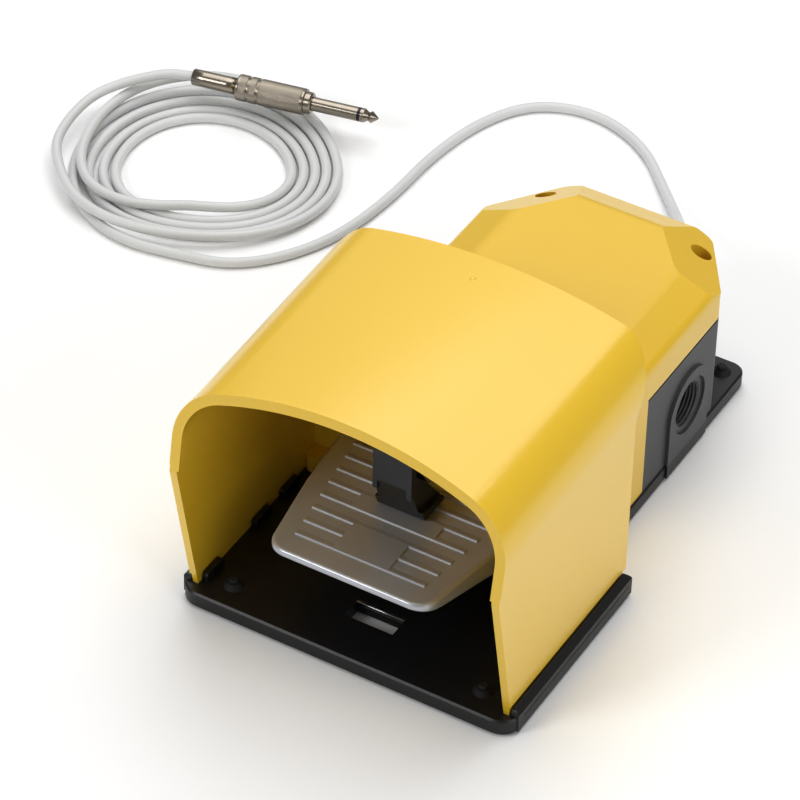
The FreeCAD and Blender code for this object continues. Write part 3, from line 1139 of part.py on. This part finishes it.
def main():
    save("base_plate", [base_plate()])
    save("catch_strip", [catch_strip()])
    save("rubber_feet", [rubber_foot(place) for place in foot_places()])
    save("hood", [hood()])
    save("housing", [housing()])
    save("cover_gasket", [gasket()])
    save("cover", [cover()])
    save("cover_screws", [cover_screw(place) for place in cover_screw_places()])
    up = Vector(0, 0, 1)
    lift = Vector(0, 0, TAP_HEAD_H + 0.6)
    places = [place + lift for place in base_screw_places()]
    reach = BASE_T - lift.z - 0.5
    save("hood_base_screws", [tapping_screw(place, up, reach + HOOD_BOSS_GRIP) for place in places[:2]])
    save("housing_screws", [tapping_screw(place, up, reach + TAP_GRIP) for place in places[2:]])
    back = [Vector(side * BACK_SCREW_X, BASE_FRONT_L - HOOD_WALL, BACK_SCREW_Z) for side in (-1, 1)]
    save("hood_back_screws", [tapping_screw(place, Vector(0, 1, 0), TAP_GRIP) for place in back])
    save("pedal", [pedal()])
    save("pedal_shaft", [pedal_shaft()])
    save("shaft_bushes", both_sides(shaft_bush()))
    save("retaining_rings", both_sides(retaining_ring()))
    save("actuator_arm", [actuator_arm()])
    save("arm_screws", arm_screws())
    for name, x in (("left", -ARM_X), ("right", ARM_X)):
        save("plunger_" + name, [plunger(x)])
        save("contact_block_" + name, [contact_block(x)])
    save("plunger_seals", [plunger_seal(x) for x in (-ARM_X, ARM_X)])
    save("terminal_screws", [terminal_screw(x + dx) for x in (-ARM_X, ARM_X) for dx in TERMINAL_XS])
    spring_room = PEDAL_TOP - PEDAL_T - BASE_T
    save("return_spring", [coil_spring(Vector(0, SPRING_Y, BASE_T), up, SPRING_R, SPRING_WIRE_R, SPRING_TURNS, spring_room)])
    save("safety_lever", [safety_lever()])
    save("latch_roller", [latch_roller()])
    save("lever_pin", [lever_pin()])
    coil = coil_spring(Vector(LEVER_HALF - 5.6, LEVER_PIN_Y, LEVER_PIN_Z), Vector(1, 0, 0), LEVER_SPRING_R,
                       LEVER_SPRING_WIRE_R, LEVER_SPRING_TURNS, LEVER_SPRING_L)
    save("lever_spring", [coil])
    for name, piece in zip(("gland_body", "gland_locknut", "gland_seal", "gland_nut"), gland_pieces()):
        save(name, [piece])
    save("cord", [cord_tube()])
    save("cord_coil", [cord_coil()])
    names = ("plug_relief", "plug_barrel", "plug_sleeve", "plug_ring", "plug_tip")
    for name, piece in zip(names, plug_pieces()):
        save(name, [piece])


main()
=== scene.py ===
import math

import bmesh
import bpy
import numpy as np
from mathutils import Matrix, Vector


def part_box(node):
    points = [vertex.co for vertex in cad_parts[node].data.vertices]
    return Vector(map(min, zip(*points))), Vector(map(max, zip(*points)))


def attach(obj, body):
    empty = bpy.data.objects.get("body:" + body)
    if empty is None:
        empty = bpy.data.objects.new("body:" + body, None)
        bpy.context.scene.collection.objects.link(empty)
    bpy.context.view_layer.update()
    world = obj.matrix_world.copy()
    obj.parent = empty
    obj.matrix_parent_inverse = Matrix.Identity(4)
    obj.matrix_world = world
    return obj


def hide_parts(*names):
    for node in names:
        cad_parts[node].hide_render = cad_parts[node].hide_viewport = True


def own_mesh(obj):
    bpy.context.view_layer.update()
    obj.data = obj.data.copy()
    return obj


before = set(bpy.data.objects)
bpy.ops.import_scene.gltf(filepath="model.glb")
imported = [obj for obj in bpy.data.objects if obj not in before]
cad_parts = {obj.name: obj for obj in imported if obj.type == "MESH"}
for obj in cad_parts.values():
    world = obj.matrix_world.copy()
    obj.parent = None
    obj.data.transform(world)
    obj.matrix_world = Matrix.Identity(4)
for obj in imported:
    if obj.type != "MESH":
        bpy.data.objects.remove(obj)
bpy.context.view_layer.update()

MM = 0.001

# Camera, from the straight edges of the base and the hood
CAMERA_PLACE = (0.5954, -1.1268, 1.1375)
CAMERA_AZIMUTH = 29.70
CAMERA_ELEVATION = 40.61
CAMERA_ROLL = 1.31
CAMERA_LENS = 190.47
SENSOR = 36.0

# Cord
CORD_D = 4.5 * MM
CORD_EXIT = (0.0, 0.132, 0.0275)
LIE = CORD_D / 2
OVER = LIE + 4.65 * MM
LEAD_IN = [
    CORD_EXIT,
    (0.0000, 0.1500, 0.0275),
    (-0.0060, 0.1670, 0.0185),
    (-0.0170, 0.1860, LIE + 0.0040),
    (-0.0340, 0.2060, LIE),
    (-0.0560, 0.2290, LIE),
    (-0.0860, 0.2400, LIE),
    (-0.1130, 0.2310, LIE),
    (-0.1270, 0.2070, LIE),
    (-0.1330, 0.1740, LIE),
    (-0.1330, 0.1380, LIE),
    (-0.1380, 0.1040, LIE),
    (-0.1500, 0.0790, LIE),
    (-0.1680, 0.0610, LIE),
    (-0.1920, 0.0555, LIE),
]
COIL_CENTRE = (-0.2110, 0.1090)
COIL_STATIONS = (-67.0, -152.0, -232.0, -323.0)
COIL_START = -92.0
COIL_STEPS = 18
# One row for each turn, and in it a radius in mm and a height at the bottom, left, top and right of the coil
COIL_TURNS = [
    ((57.3, LIE), (58.3, LIE), (63.5, LIE), (54.7, LIE)),
    ((42.6, LIE), (51.6, LIE), (55.4, LIE), (49.7, LIE)),
    ((37.6, LIE), (45.2, LIE), (47.8, LIE), (44.6, LIE)),
    ((32.6, LIE), (39.5, LIE), (42.3, LIE), (39.2, LIE)),
    ((28.2, OVER), (55.0, OVER), (68.5, OVER), (59.8, LIE)),
    ((48.0, OVER - 0.9 * MM), (63.9, OVER + 0.5 * MM)),
]
TAIL_RUN = [
    (-0.2715, 0.0820, 0.0080),
    (-0.2770, 0.0940, 0.0086),
    (-0.2793, 0.1090, 0.0094),
    (-0.2780, 0.1230, 0.0108),
    (-0.2715, 0.1340, 0.0124),
    (-0.2640, 0.1420, 0.0137),
    (-0.2540, 0.1511, 0.0149),
    (-0.2434, 0.1532, 0.0150),
]

# Plug
PLUG_TAIL = (-0.2444, 0.1530, 0.0150)
PLUG_HEADING = math.radians(11.0)
RELIEF_R = 3.8 * MM
RELIEF_BORE = 2.75 * MM
RELIEF_L = 21.5 * MM
RELIEF_EDGE = 0.25 * MM
BARREL_R = 6.0 * MM
BARREL_L = 32.0 * MM
GROOVES = ((5.0 * MM, 6.0 * MM), (9.6 * MM, 10.6 * MM))
GROOVE_DEPTH = 0.6 * MM
GROOVE_WALL = 0.12 * MM
BARREL_EDGE = 0.7 * MM
BARREL_ROUNDING = 0.6
KNURL_DEPTH = 0.16 * MM
KNURL_PITCH = 1.0 * MM
KNURL_STRETCH = 1.4
KNURL_FRONT = 1.0 * MM
KNURL_BACK = 1.2 * MM
KNURL_FADE = 0.3 * MM
KNURL_CLEAR = 1.5

# Pedal return spring. It is wider than its CAD solid by SPRING_FREE, so that it clears the pedal's peg
SPRING_WIRE_R = 0.8 * MM
SPRING_FREE = 0.6 * MM
SPRING_TURNS = 6.5
SPRING_STEPS = 40
SPRING_CLOSING = 0.7

# Catch strip
STRIP_ROUNDING = 5
STRIP_END = 0.3 * MM
STRIP_END_SHARE = 0.85

# Trace of the moulding gate on the hood's roof
GATE_PLACE = (-0.0020, -0.0254, 0.12489)
GATE_R = 1.7 * MM
GATE_HEIGHT = 0.22 * MM
GATE_SINK = 0.04 * MM
GATE_RING = 0.55
GATE_RING_WIDTH = 0.2

# Studio
FLOOR_HALF = 6.0
WORLD_STRENGTH = 0.30
VIEW_GAMMA = 0.85
VIEW_EXPOSURE = -0.04

# Cable entries
ENTRY_PLACE = (0.0555, 0.0555, 0.0285)
ENTRY_R = 10.0 * MM
THREAD_PITCH = 1.5 * MM
THREAD_DEPTH = 0.9 * MM
THREAD_LENGTH = 7.8 * MM
THREAD_INSET = 1.2 * MM
THREAD_FADE = 1.2 * MM
THREAD_SKIN = 0.02 * MM


def colour(text, alpha=1.0):
    """An sRGB hex colour as linear values."""
    values = np.array([int(text[i:i + 2], 16) for i in (1, 3, 5)]) / 255
    linear = np.where(values <= 0.04045, values / 12.92, ((values + 0.055) / 1.055) ** 2.4)
    return (*[float(v) for v in linear], alpha)


def add(tree, kind, settings=None, links=None):
    """Adds a node, sets its properties and sockets, and links other nodes' sockets into it."""
    made = tree.nodes.new(kind)
    for key, value in (settings or {}).items():
        if isinstance(key, str) and hasattr(made, key):
            setattr(made, key, value)
        else:
            made.inputs[key].default_value = value
    for key, source in (links or {}).items():
        tree.links.new(source, made.inputs[key])
    return made


def finish_of(name, base, other, metallic, roughness, spread, grain, bump, **sockets):
    """A material whose colour and roughness drift between two values on noise, with a fine bump.
    grain is (size of the colour drift, size of the bump) in mm, and bump its height in mm."""
    material = bpy.data.materials.new(name)
    material.use_nodes = True
    tree = material.node_tree
    tree.nodes.clear()
    place = add(tree, "ShaderNodeTexCoord").outputs["Object"]
    drift = add(tree, "ShaderNodeTexNoise", {"Scale": 1 / (grain[0] * MM), "Detail": 3.0}, {"Vector": place})
    fine = add(tree, "ShaderNodeTexNoise", {"Scale": 1 / (grain[1] * MM), "Detail": 4.0}, {"Vector": place})
    mix = add(tree, "ShaderNodeMix", {"data_type": "RGBA"}, {"Factor": drift.outputs["Fac"]})
    mix.inputs[6].default_value = colour(base)
    mix.inputs[7].default_value = colour(other)
    rough = add(tree, "ShaderNodeMapRange", {"To Min": roughness - spread, "To Max": roughness + spread},
                {"Value": fine.outputs["Fac"]})
    raised = add(tree, "ShaderNodeBump", {"Strength": 1.0, "Distance": bump * MM}, {"Height": fine.outputs["Fac"]})
    shader = add(tree, "ShaderNodeBsdfPrincipled", {"Metallic": metallic, **sockets},
                 {"Base Color": mix.outputs[2], "Roughness": rough.outputs[0], "Normal": raised.outputs[0]})
    add(tree, "ShaderNodeOutputMaterial", {}, {"Surface": shader.outputs[0]})
    return material


def moulded_abs():
    """ABS, injection moulded in a polished tool: an even, saturated yellow under a clear gloss."""
    return finish_of("gloss_yellow_abs", "#EAC437", "#E7C033", 0.0, 0.30, 0.02, (90, 40), 0.003,
                     **{"IOR": 1.52, "Coat Weight": 0.7, "Coat Roughness": 0.18})


def cover_abs():
    """The same ABS from an older tool: a little deeper in colour, with a softer gloss."""
    return finish_of("satin_yellow_abs", "#E6C037", "#E1BB32", 0.0, 0.34, 0.02, (90, 35), 0.003,
                     **{"IOR": 1.52, "Coat Weight": 0.4, "Coat Roughness": 0.22})


def base_polyamide():
    """Glass-filled polyamide, moulded: near black, satin, with a faint uneven skin."""
    return finish_of("black_glass_filled_polyamide", "#141415", "#19191B", 0.0, 0.40, 0.06, (18, 1.2), 0.02,
                     **{"IOR": 1.53})


def housing_polyamide():
    """Polyamide from a spark-eroded tool: dark grey with a fine even texture that scatters light."""
    return finish_of("spark_textured_polyamide", "#47484A", "#4F5051", 0.0, 0.50, 0.08, (25, 0.9), 0.05,
                     **{"IOR": 1.53})


def cast_pedal():
    """Die-cast aluminium under silver-grey paint: flakes give it a soft metallic sheen."""
    return finish_of("silver_painted_casting", "#C9CCD2", "#BDC0C6", 0.50, 0.34, 0.05, (30, 0.5), 0.010,
                     **{"IOR": 1.5})


def acetal_black():
    """Acetal, moulded: deep black with a soft polish."""
    return finish_of("black_acetal", "#202022", "#242426", 0.0, 0.33, 0.03, (20, 6), 0.003, **{"IOR": 1.48})


def polished_steel():
    """Ground and polished steel: bright, with the last trace of the grinding."""
    return finish_of("polished_steel", "#C9C9CA", "#BDBDBE", 1.0, 0.16, 0.05, (10, 0.4), 0.004)


def zinc_plate():
    """Zinc-plated steel with a clear yellow passivation."""
    return finish_of("passivated_zinc", "#C9B27E", "#B39A68", 1.0, 0.34, 0.06, (3, 0.5), 0.01)


def spring_wire():
    """Oil-tempered spring wire: brownish grey, drawn smooth."""
    return finish_of("oil_tempered_wire", "#7E766C", "#6E665C", 1.0, 0.38, 0.05, (4, 0.4), 0.005)


def nickel_plate():
    """Bright nickel on turned brass: warm silver, with fine turning marks."""
    return finish_of("bright_nickel", "#A59D91", "#958D81", 1.0, 0.22, 0.05, (6, 0.5), 0.004)


def nitrile():
    """Nitrile rubber, moulded: matt black that dulls reflections."""
    return finish_of("nitrile_rubber", "#151515", "#1D1D1D", 0.0, 0.72, 0.06, (8, 0.8), 0.02, **{"IOR": 1.52})


def cord_pvc():
    """Plasticised PVC sheath, extruded: light grey, satin, slightly uneven along its length."""
    return finish_of("light_grey_pvc", "#DCDDDC", "#D3D4D4", 0.0, 0.42, 0.05, (26, 2.0), 0.012, **{"IOR": 1.53})


def plain_moulding(name, base, other, roughness):
    """A plain moulded plastic of the inner pieces."""
    return finish_of(name, base, other, 0.0, roughness, 0.06, (12, 1.2), 0.012, **{"IOR": 1.5})


# What each CAD node is made of
def dress_nodes():
    """Gives each CAD node the material of its real piece."""
    yellow, cover, base, housing = moulded_abs(), cover_abs(), base_polyamide(), housing_polyamide()
    steel, zinc, wire, rubber, nickel = polished_steel(), zinc_plate(), spring_wire(), nitrile(), nickel_plate()
    white = plain_moulding("natural_acetal", "#DEDBD2", "#D5D1C6", 0.38)
    phenolic = plain_moulding("phenolic_moulding", "#2A2522", "#322C28", 0.45)
    gland = plain_moulding("grey_polyamide", "#4C4D50", "#55565A", 0.45)
    insulator = plain_moulding("black_insulator", "#0D0D0E", "#131314", 0.25)
    wanted = {
        "hood": yellow, "cover": cover, "base_plate": base, "housing": housing, "cover_gasket": rubber,
        "rubber_feet": rubber, "plunger_seals": rubber, "gland_seal": rubber, "pedal": cast_pedal(),
        "safety_lever": acetal_black(), "latch_roller": steel, "catch_strip": steel, "pedal_shaft": steel,
        "actuator_arm": steel, "lever_pin": steel, "shaft_bushes": white, "plunger_left": white,
        "plunger_right": white, "contact_block_left": phenolic, "contact_block_right": phenolic,
        "return_spring": wire, "lever_spring": wire, "retaining_rings": wire, "gland_body": gland,
        "gland_locknut": gland, "gland_nut": gland, "plug_sleeve": nickel, "plug_tip": nickel,
        "plug_ring": insulator,
    }
    for name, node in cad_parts.items():
        material = wanted.get(name, zinc)
        if not node.material_slots:
            node.data.materials.append(material)
        for slot in node.material_slots:
            slot.material = material
    return nickel, insulator, housing


def piece_from(name, points, wrap_rows, wrap_columns, material, body):
    """A smooth piece from a grid of points, rows by columns by xyz, joined into four-sided faces."""
    rows, columns = points.shape[:2]
    index = np.arange(rows * columns).reshape(rows, columns)
    if wrap_rows:
        index = np.vstack([index, index[:1]])
    if wrap_columns:
        index = np.hstack([index, index[:, :1]])
    faces = np.stack([index[:-1, :-1], index[1:, :-1], index[1:, 1:], index[:-1, 1:]], axis=-1).reshape(-1, 4)
    mesh = bpy.data.meshes.new(name)
    mesh.from_pydata(points.reshape(-1, 3), [], faces)
    work = bmesh.new()
    work.from_mesh(mesh)
    bmesh.ops.remove_doubles(work, verts=work.verts, dist=1e-7)
    bmesh.ops.recalc_face_normals(work, faces=work.faces)
    work.to_mesh(mesh)
    work.free()
    mesh.shade_smooth()
    mesh.materials.append(material)
    piece = bpy.data.objects.new(name, mesh)
    bpy.context.scene.collection.objects.link(piece)
    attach(piece, body)
    return piece


def about_axis(along, radius, turn, origin, direction):
    """Points at a distance along an axis and a radius and angle about it. All three arrays have one shape."""
    axis = np.array(direction, float)
    side = np.cross(axis, (0.0, 0.0, 1.0))
    side /= np.linalg.norm(side)
    up = np.cross(side, axis)
    return (np.array(origin) + along[..., None] * axis
            + (radius * np.cos(turn))[..., None] * side + (radius * np.sin(turn))[..., None] * up)


# Cord

def smooth(share):
    """Eases from 0 to 1 with level ends."""
    return share * share * (3 - 2 * share)


def coil_points():
    """Loose turns, clockwise from above. Radius and height ease from one station to the next."""
    angles, radii, heights = [], [], []
    for turn, row in enumerate(COIL_TURNS):
        for station, (radius, height) in zip(COIL_STATIONS, row):
            angles.append(-(station - 360 * turn))
            radii.append(radius * MM)
            heights.append(height)
    wanted = np.arange(-COIL_START, angles[-1], 360 / COIL_STEPS)
    cell = np.clip(np.searchsorted(angles, wanted, "right") - 1, 0, len(angles) - 2)
    angles, radii, heights = np.array(angles), np.array(radii), np.array(heights)
    share = smooth((wanted - angles[cell]) / (angles[cell + 1] - angles[cell]))
    radius = radii[cell] + (radii[cell + 1] - radii[cell]) * share
    height = heights[cell] + (heights[cell + 1] - heights[cell]) * share
    turn = np.radians(-wanted)
    x = COIL_CENTRE[0] + radius * np.cos(turn)
    y = COIL_CENTRE[1] + radius * np.sin(turn)
    return np.stack([x, y, height], axis=1)


def cord_curve():
    """The whole cord as one smooth spline: out of the gland, round to the coil, its turns, and up into the plug."""
    points = np.vstack([LEAD_IN, coil_points(), TAIL_RUN])
    curve = bpy.data.curves.new("signal_cord", "CURVE")
    curve.dimensions = "3D"
    curve.bevel_depth = CORD_D / 2
    curve.bevel_resolution = 5
    curve.resolution_u = 6
    curve.use_fill_caps = True
    spline = curve.splines.new("NURBS")
    spline.points.add(len(points) - 1)
    spline.points.foreach_set("co", np.hstack([points, np.ones((len(points), 1))]).ravel())
    spline.order_u = 3
    spline.use_endpoint_u = True
    curve.materials.append(cord_pvc())
    piece = bpy.data.objects.new("signal_cord", curve)
    bpy.context.scene.collection.objects.link(piece)
    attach(piece, "base")
    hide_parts("cord", "cord_coil")
    return piece


# Plug

def plug_direction():
    """The way the plug's tip points, level with the floor."""
    return (math.cos(PLUG_HEADING), math.sin(PLUG_HEADING), 0.0)


def relief_tube(material):
    """Strain relief: a closed tube, its profile carried round the plug's axis."""
    profile = np.array([
        (0, RELIEF_BORE + RELIEF_EDGE), (0, RELIEF_R - RELIEF_EDGE), (RELIEF_EDGE, RELIEF_R), (RELIEF_L, RELIEF_R),
        (RELIEF_L, RELIEF_BORE), (RELIEF_EDGE, RELIEF_BORE),
    ])
    dense = np.vstack([np.linspace(p, q, 5)[:-1] for p, q in zip(profile, np.roll(profile, -1, axis=0))])
    turn, row = np.meshgrid(np.linspace(0, 2 * math.pi, 64, endpoint=False), np.arange(len(dense)))
    points = about_axis(dense[row, 0], dense[row, 1], turn, PLUG_TAIL, plug_direction())
    piece = piece_from("relief_tube", points, True, True, material, "base")
    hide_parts("plug_relief")
    return piece


def knurled_barrel(material):
    """Barrel with a crossed knurl: two families of ridges wind opposite ways, and the radius is their product.
    The knurl stops at the two grooves and at both ends."""
    origin = np.array(PLUG_TAIL) + RELIEF_L * np.array(plug_direction())
    ridges = round(2 * math.pi * BARREL_R / KNURL_PITCH)
    along = np.linspace(0, BARREL_L, 190)
    turn = np.linspace(0, 2 * math.pi, ridges * 6, endpoint=False)
    along, turn = np.meshgrid(along, turn, indexing="ij")
    wind = along * 2 * math.pi / (KNURL_PITCH * KNURL_STRETCH)
    ridge = np.abs(np.sin(ridges * turn / 2 + wind / 2)) * np.abs(np.sin(ridges * turn / 2 - wind / 2))
    ends = np.clip(np.minimum(along, BARREL_L - along) / BARREL_EDGE, 0, 1)
    radius = BARREL_R - BARREL_EDGE * (1 - np.sqrt(1 - (1 - ends) ** 2)) * BARREL_ROUNDING
    knurled = np.clip(np.minimum(along - KNURL_FRONT, BARREL_L - KNURL_BACK - along) / KNURL_FADE, 0, 1)
    for start, end in GROOVES:
        within = np.minimum(along - start, end - along)
        radius = radius - GROOVE_DEPTH * np.clip(within / GROOVE_WALL + 1, 0, 1)
        knurled = knurled * (1 - np.clip(within / KNURL_FADE + KNURL_CLEAR, 0, 1))
    radius = radius - KNURL_DEPTH * (1 - ridge) * knurled
    caps = [np.zeros((1, radius.shape[1])), radius, np.zeros((1, radius.shape[1]))]
    along = np.vstack([along[:1], along, along[-1:]])
    turn = np.vstack([turn[:1], turn, turn[-1:]])
    points = about_axis(along, np.vstack(caps), turn, origin, plug_direction())
    piece = piece_from("knurled_barrel", points, False, True, material, "base")
    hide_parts("plug_barrel")
    return piece


# Cable entries

def entry_thread(side, material):
    """Internal thread of an entry: a sleeve whose inner radius is a triangle wave that winds along the bore."""
    steps = 8
    turns = THREAD_LENGTH / THREAD_PITCH
    rows = int(turns * steps) + 1
    along = np.linspace(-THREAD_LENGTH, 0, rows)
    turn = np.linspace(0, 2 * math.pi, 96, endpoint=False)
    inner, around = np.meshgrid(along, turn, indexing="ij")
    wave = 2 * np.abs((inner / THREAD_PITCH - side * around / (2 * math.pi)) % 1 - 0.5)
    fade = np.clip(-inner / THREAD_FADE, 0, 1)
    radius = ENTRY_R - THREAD_SKIN - THREAD_DEPTH * wave * fade
    outer = np.full_like(radius[:2], ENTRY_R + THREAD_SKIN)
    along_all = np.vstack([inner, inner[-1:], inner[:1]])
    radius_all = np.vstack([radius, outer])
    around_all = np.vstack([around, around[:2]])
    origin = (side * (ENTRY_PLACE[0] - THREAD_INSET), ENTRY_PLACE[1], ENTRY_PLACE[2])
    points = about_axis(along_all, radius_all, around_all, origin, (side, 0.0, 0.0))
    name = "entry_thread_right" if side > 0 else "entry_thread_left"
    return piece_from(name, points, True, True, material, "base")


# Pedal return spring

def return_coil(material):
    """Compression spring under the pedal: a round wire carried along a helix, whose climb eases off at both ends by
    a sine so that its end turns close."""
    low, high = (np.array(corner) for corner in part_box("return_spring"))
    middle, radius = (low + high) / 2, (high[0] - low[0]) / 2 - SPRING_WIRE_R + SPRING_FREE
    share = np.linspace(0, 1, int(SPRING_TURNS * SPRING_STEPS) + 1)
    turn = 2 * math.pi * SPRING_TURNS * share
    climb = share - SPRING_CLOSING * np.sin(2 * math.pi * share) / (2 * math.pi)
    height = low[2] + SPRING_WIRE_R + (high[2] - low[2] - 2 * SPRING_WIRE_R) * climb
    line = np.stack([middle[0] + radius * np.cos(turn), middle[1] + radius * np.sin(turn), height], axis=1)
    ahead = np.gradient(line, axis=0)
    ahead /= np.linalg.norm(ahead, axis=1, keepdims=True)
    outward = np.stack([np.cos(turn), np.sin(turn), np.zeros_like(turn)], axis=1)
    upward = np.cross(outward, ahead)
    around = np.linspace(0, 2 * math.pi, 14, endpoint=False)[None, :, None]
    skin = line[:, None] + SPRING_WIRE_R * (np.cos(around) * outward[:, None] + np.sin(around) * upward[:, None])
    ends = [np.broadcast_to(line[end], (1, skin.shape[1], 3)) for end in (0, -1)]
    piece = piece_from("return_coil", np.vstack([ends[0], skin, ends[1]]), False, True, material, "base")
    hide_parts("return_spring")
    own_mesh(piece)
    return piece


# Slot in the base

def rounded_strip(material):
    """Catch strip, a flat bar with rounded edges: its section is a superellipse of exponent STRIP_ROUNDING, carried
    along x, and both ends close on its middle line."""
    corners = np.array(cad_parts["catch_strip"].bound_box)
    low, high = corners.min(axis=0), corners.max(axis=0)
    middle, half = (low + high) / 2, (high - low) / 2
    turn = np.linspace(0, 2 * math.pi, 64, endpoint=False)
    size = (np.abs(np.cos(turn)) ** STRIP_ROUNDING + np.abs(np.sin(turn)) ** STRIP_ROUNDING) ** (-1 / STRIP_ROUNDING)
    places = np.array((low[0], low[0], low[0] + STRIP_END, high[0] - STRIP_END, high[0], high[0]))
    widths = np.array((0.0, STRIP_END_SHARE, 1.0, 1.0, STRIP_END_SHARE, 0.0))
    across = middle[1] + half[1] * widths[:, None] * size * np.cos(turn)
    upright = middle[2] + half[2] * widths[:, None] * size * np.sin(turn)
    along = np.broadcast_to(places[:, None], across.shape)
    piece = piece_from("rounded_strip", np.stack([along, across, upright], axis=-1), False, True, material, "base")
    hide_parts("catch_strip")
    return piece


# Hood

def gate_mark(material):
    """Trace of the moulding gate on the roof: a low ring. Its height is a bell curve over the distance from the
    middle, and it sinks under the roof at its rim."""
    rings = np.linspace(0, 1, 15)[1:]
    turn, share = np.meshgrid(np.linspace(0, 2 * math.pi, 48, endpoint=False), rings)
    ring = np.exp(-((share - GATE_RING) / GATE_RING_WIDTH) ** 2)
    height = GATE_HEIGHT * ring - 2 * GATE_SINK * share ** 4 + GATE_SINK / 2
    points = np.stack([GATE_PLACE[0] + GATE_R * share * np.cos(turn), GATE_PLACE[1] + GATE_R * share * np.sin(turn),
                       GATE_PLACE[2] + height], axis=-1)
    middle = np.broadcast_to(np.array(GATE_PLACE) + (0, 0, GATE_SINK / 2), (1, turn.shape[1], 3))
    under = np.broadcast_to(np.array(GATE_PLACE) - (0, 0, 3 * GATE_SINK), (1, turn.shape[1], 3))
    return piece_from("gate_mark", np.vstack([middle, points, under]), False, True, material, "base")


# Camera and studio

def camera():
    """Camera at the photograph's angle, from its azimuth, elevation and roll."""
    azimuth, elevation, roll = (math.radians(v) for v in (CAMERA_AZIMUTH, CAMERA_ELEVATION, CAMERA_ROLL))
    ahead = Vector((-math.sin(azimuth) * math.cos(elevation), math.cos(azimuth) * math.cos(elevation),
                    -math.sin(elevation)))
    right = Vector((math.cos(azimuth), math.sin(azimuth), 0))
    up = right.cross(ahead)
    across = math.cos(roll) * right + math.sin(roll) * up
    upright = -math.sin(roll) * right + math.cos(roll) * up
    turn = Matrix((across, upright, -ahead)).transposed().to_4x4()
    data = bpy.data.cameras.new("camera")
    data.lens = CAMERA_LENS
    data.sensor_width = SENSOR
    data.clip_end = 20
    made = bpy.data.objects.new("camera", data)
    bpy.context.scene.collection.objects.link(made)
    made.matrix_world = Matrix.Translation(CAMERA_PLACE) @ turn
    bpy.context.scene.camera = made


def soft_light(name, place, aim, size, power, tint):
    """A square area light that faces a point."""
    data = bpy.data.lights.new(name, "AREA")
    data.size = size
    data.energy = power
    data.color = colour(tint)[:3]
    made = bpy.data.objects.new(name, data)
    bpy.context.scene.collection.objects.link(made)
    made.location = place
    made.rotation_euler = (Vector(aim) - Vector(place)).to_track_quat("-Z", "Y").to_euler()


def studio():
    """Pale floor, soft light from above, from both sides and from the front, and a view curve a little steeper
    than the standard one, as in the photograph."""
    mesh = bpy.data.meshes.new("floor")
    corners = [(x * FLOOR_HALF, y * FLOOR_HALF, 0) for x, y in ((-1, -1), (1, -1), (1, 1), (-1, 1))]
    mesh.from_pydata(corners, [], [(0, 1, 2, 3)])
    paint = bpy.data.materials.new("pale_floor")
    paint.use_nodes = True
    shader = paint.node_tree.nodes["Principled BSDF"]
    shader.inputs["Base Color"].default_value = colour("#FBFBFB")
    shader.inputs["Roughness"].default_value = 0.9
    shader.inputs["Specular IOR Level"].default_value = 0.1
    mesh.materials.append(paint)
    floor = bpy.data.objects.new("floor", mesh)
    bpy.context.scene.collection.objects.link(floor)
    world = bpy.data.worlds.new("studio")
    world.use_nodes = True
    world.node_tree.nodes["Background"].inputs[0].default_value = colour("#FFFFFF")
    world.node_tree.nodes["Background"].inputs[1].default_value = WORLD_STRENGTH
    bpy.context.scene.world = world
    soft_light("overhead", (-0.1, 0.45, 1.6), (0, 0, 0.05), 1.6, 20, "#FFFFFF")
    soft_light("back_left", (-0.9, 1.3, 1.15), (0, 0, 0.1), 1.2, 3.0, "#FFFFFF")
    soft_light("front_left", (-0.75, -1.3, 1.05), (0, 0, 0.05), 0.6, 9, "#FFFFFF")
    soft_light("right", (1.3, -0.3, 0.7), (0, 0, 0.06), 0.9, 6, "#FFFFFF")
    view = bpy.context.scene.view_settings
    view.view_transform = "Standard"
    view.gamma = VIEW_GAMMA
    view.exposure = VIEW_EXPOSURE


nickel, insulator, housing_plastic = dress_nodes()
plug = [relief_tube(nickel), knurled_barrel(nickel)]
plug += [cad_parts[name] for name in ("plug_sleeve", "plug_ring", "plug_tip")]
cord_curve()
for side in (-1, 1):
    entry_thread(side, housing_plastic)
gate_mark(bpy.data.materials["gloss_yellow_abs"])
rounded_strip(bpy.data.materials["polished_steel"])
return_coil(bpy.data.materials["oil_tempered_wire"])
camera()
studio()
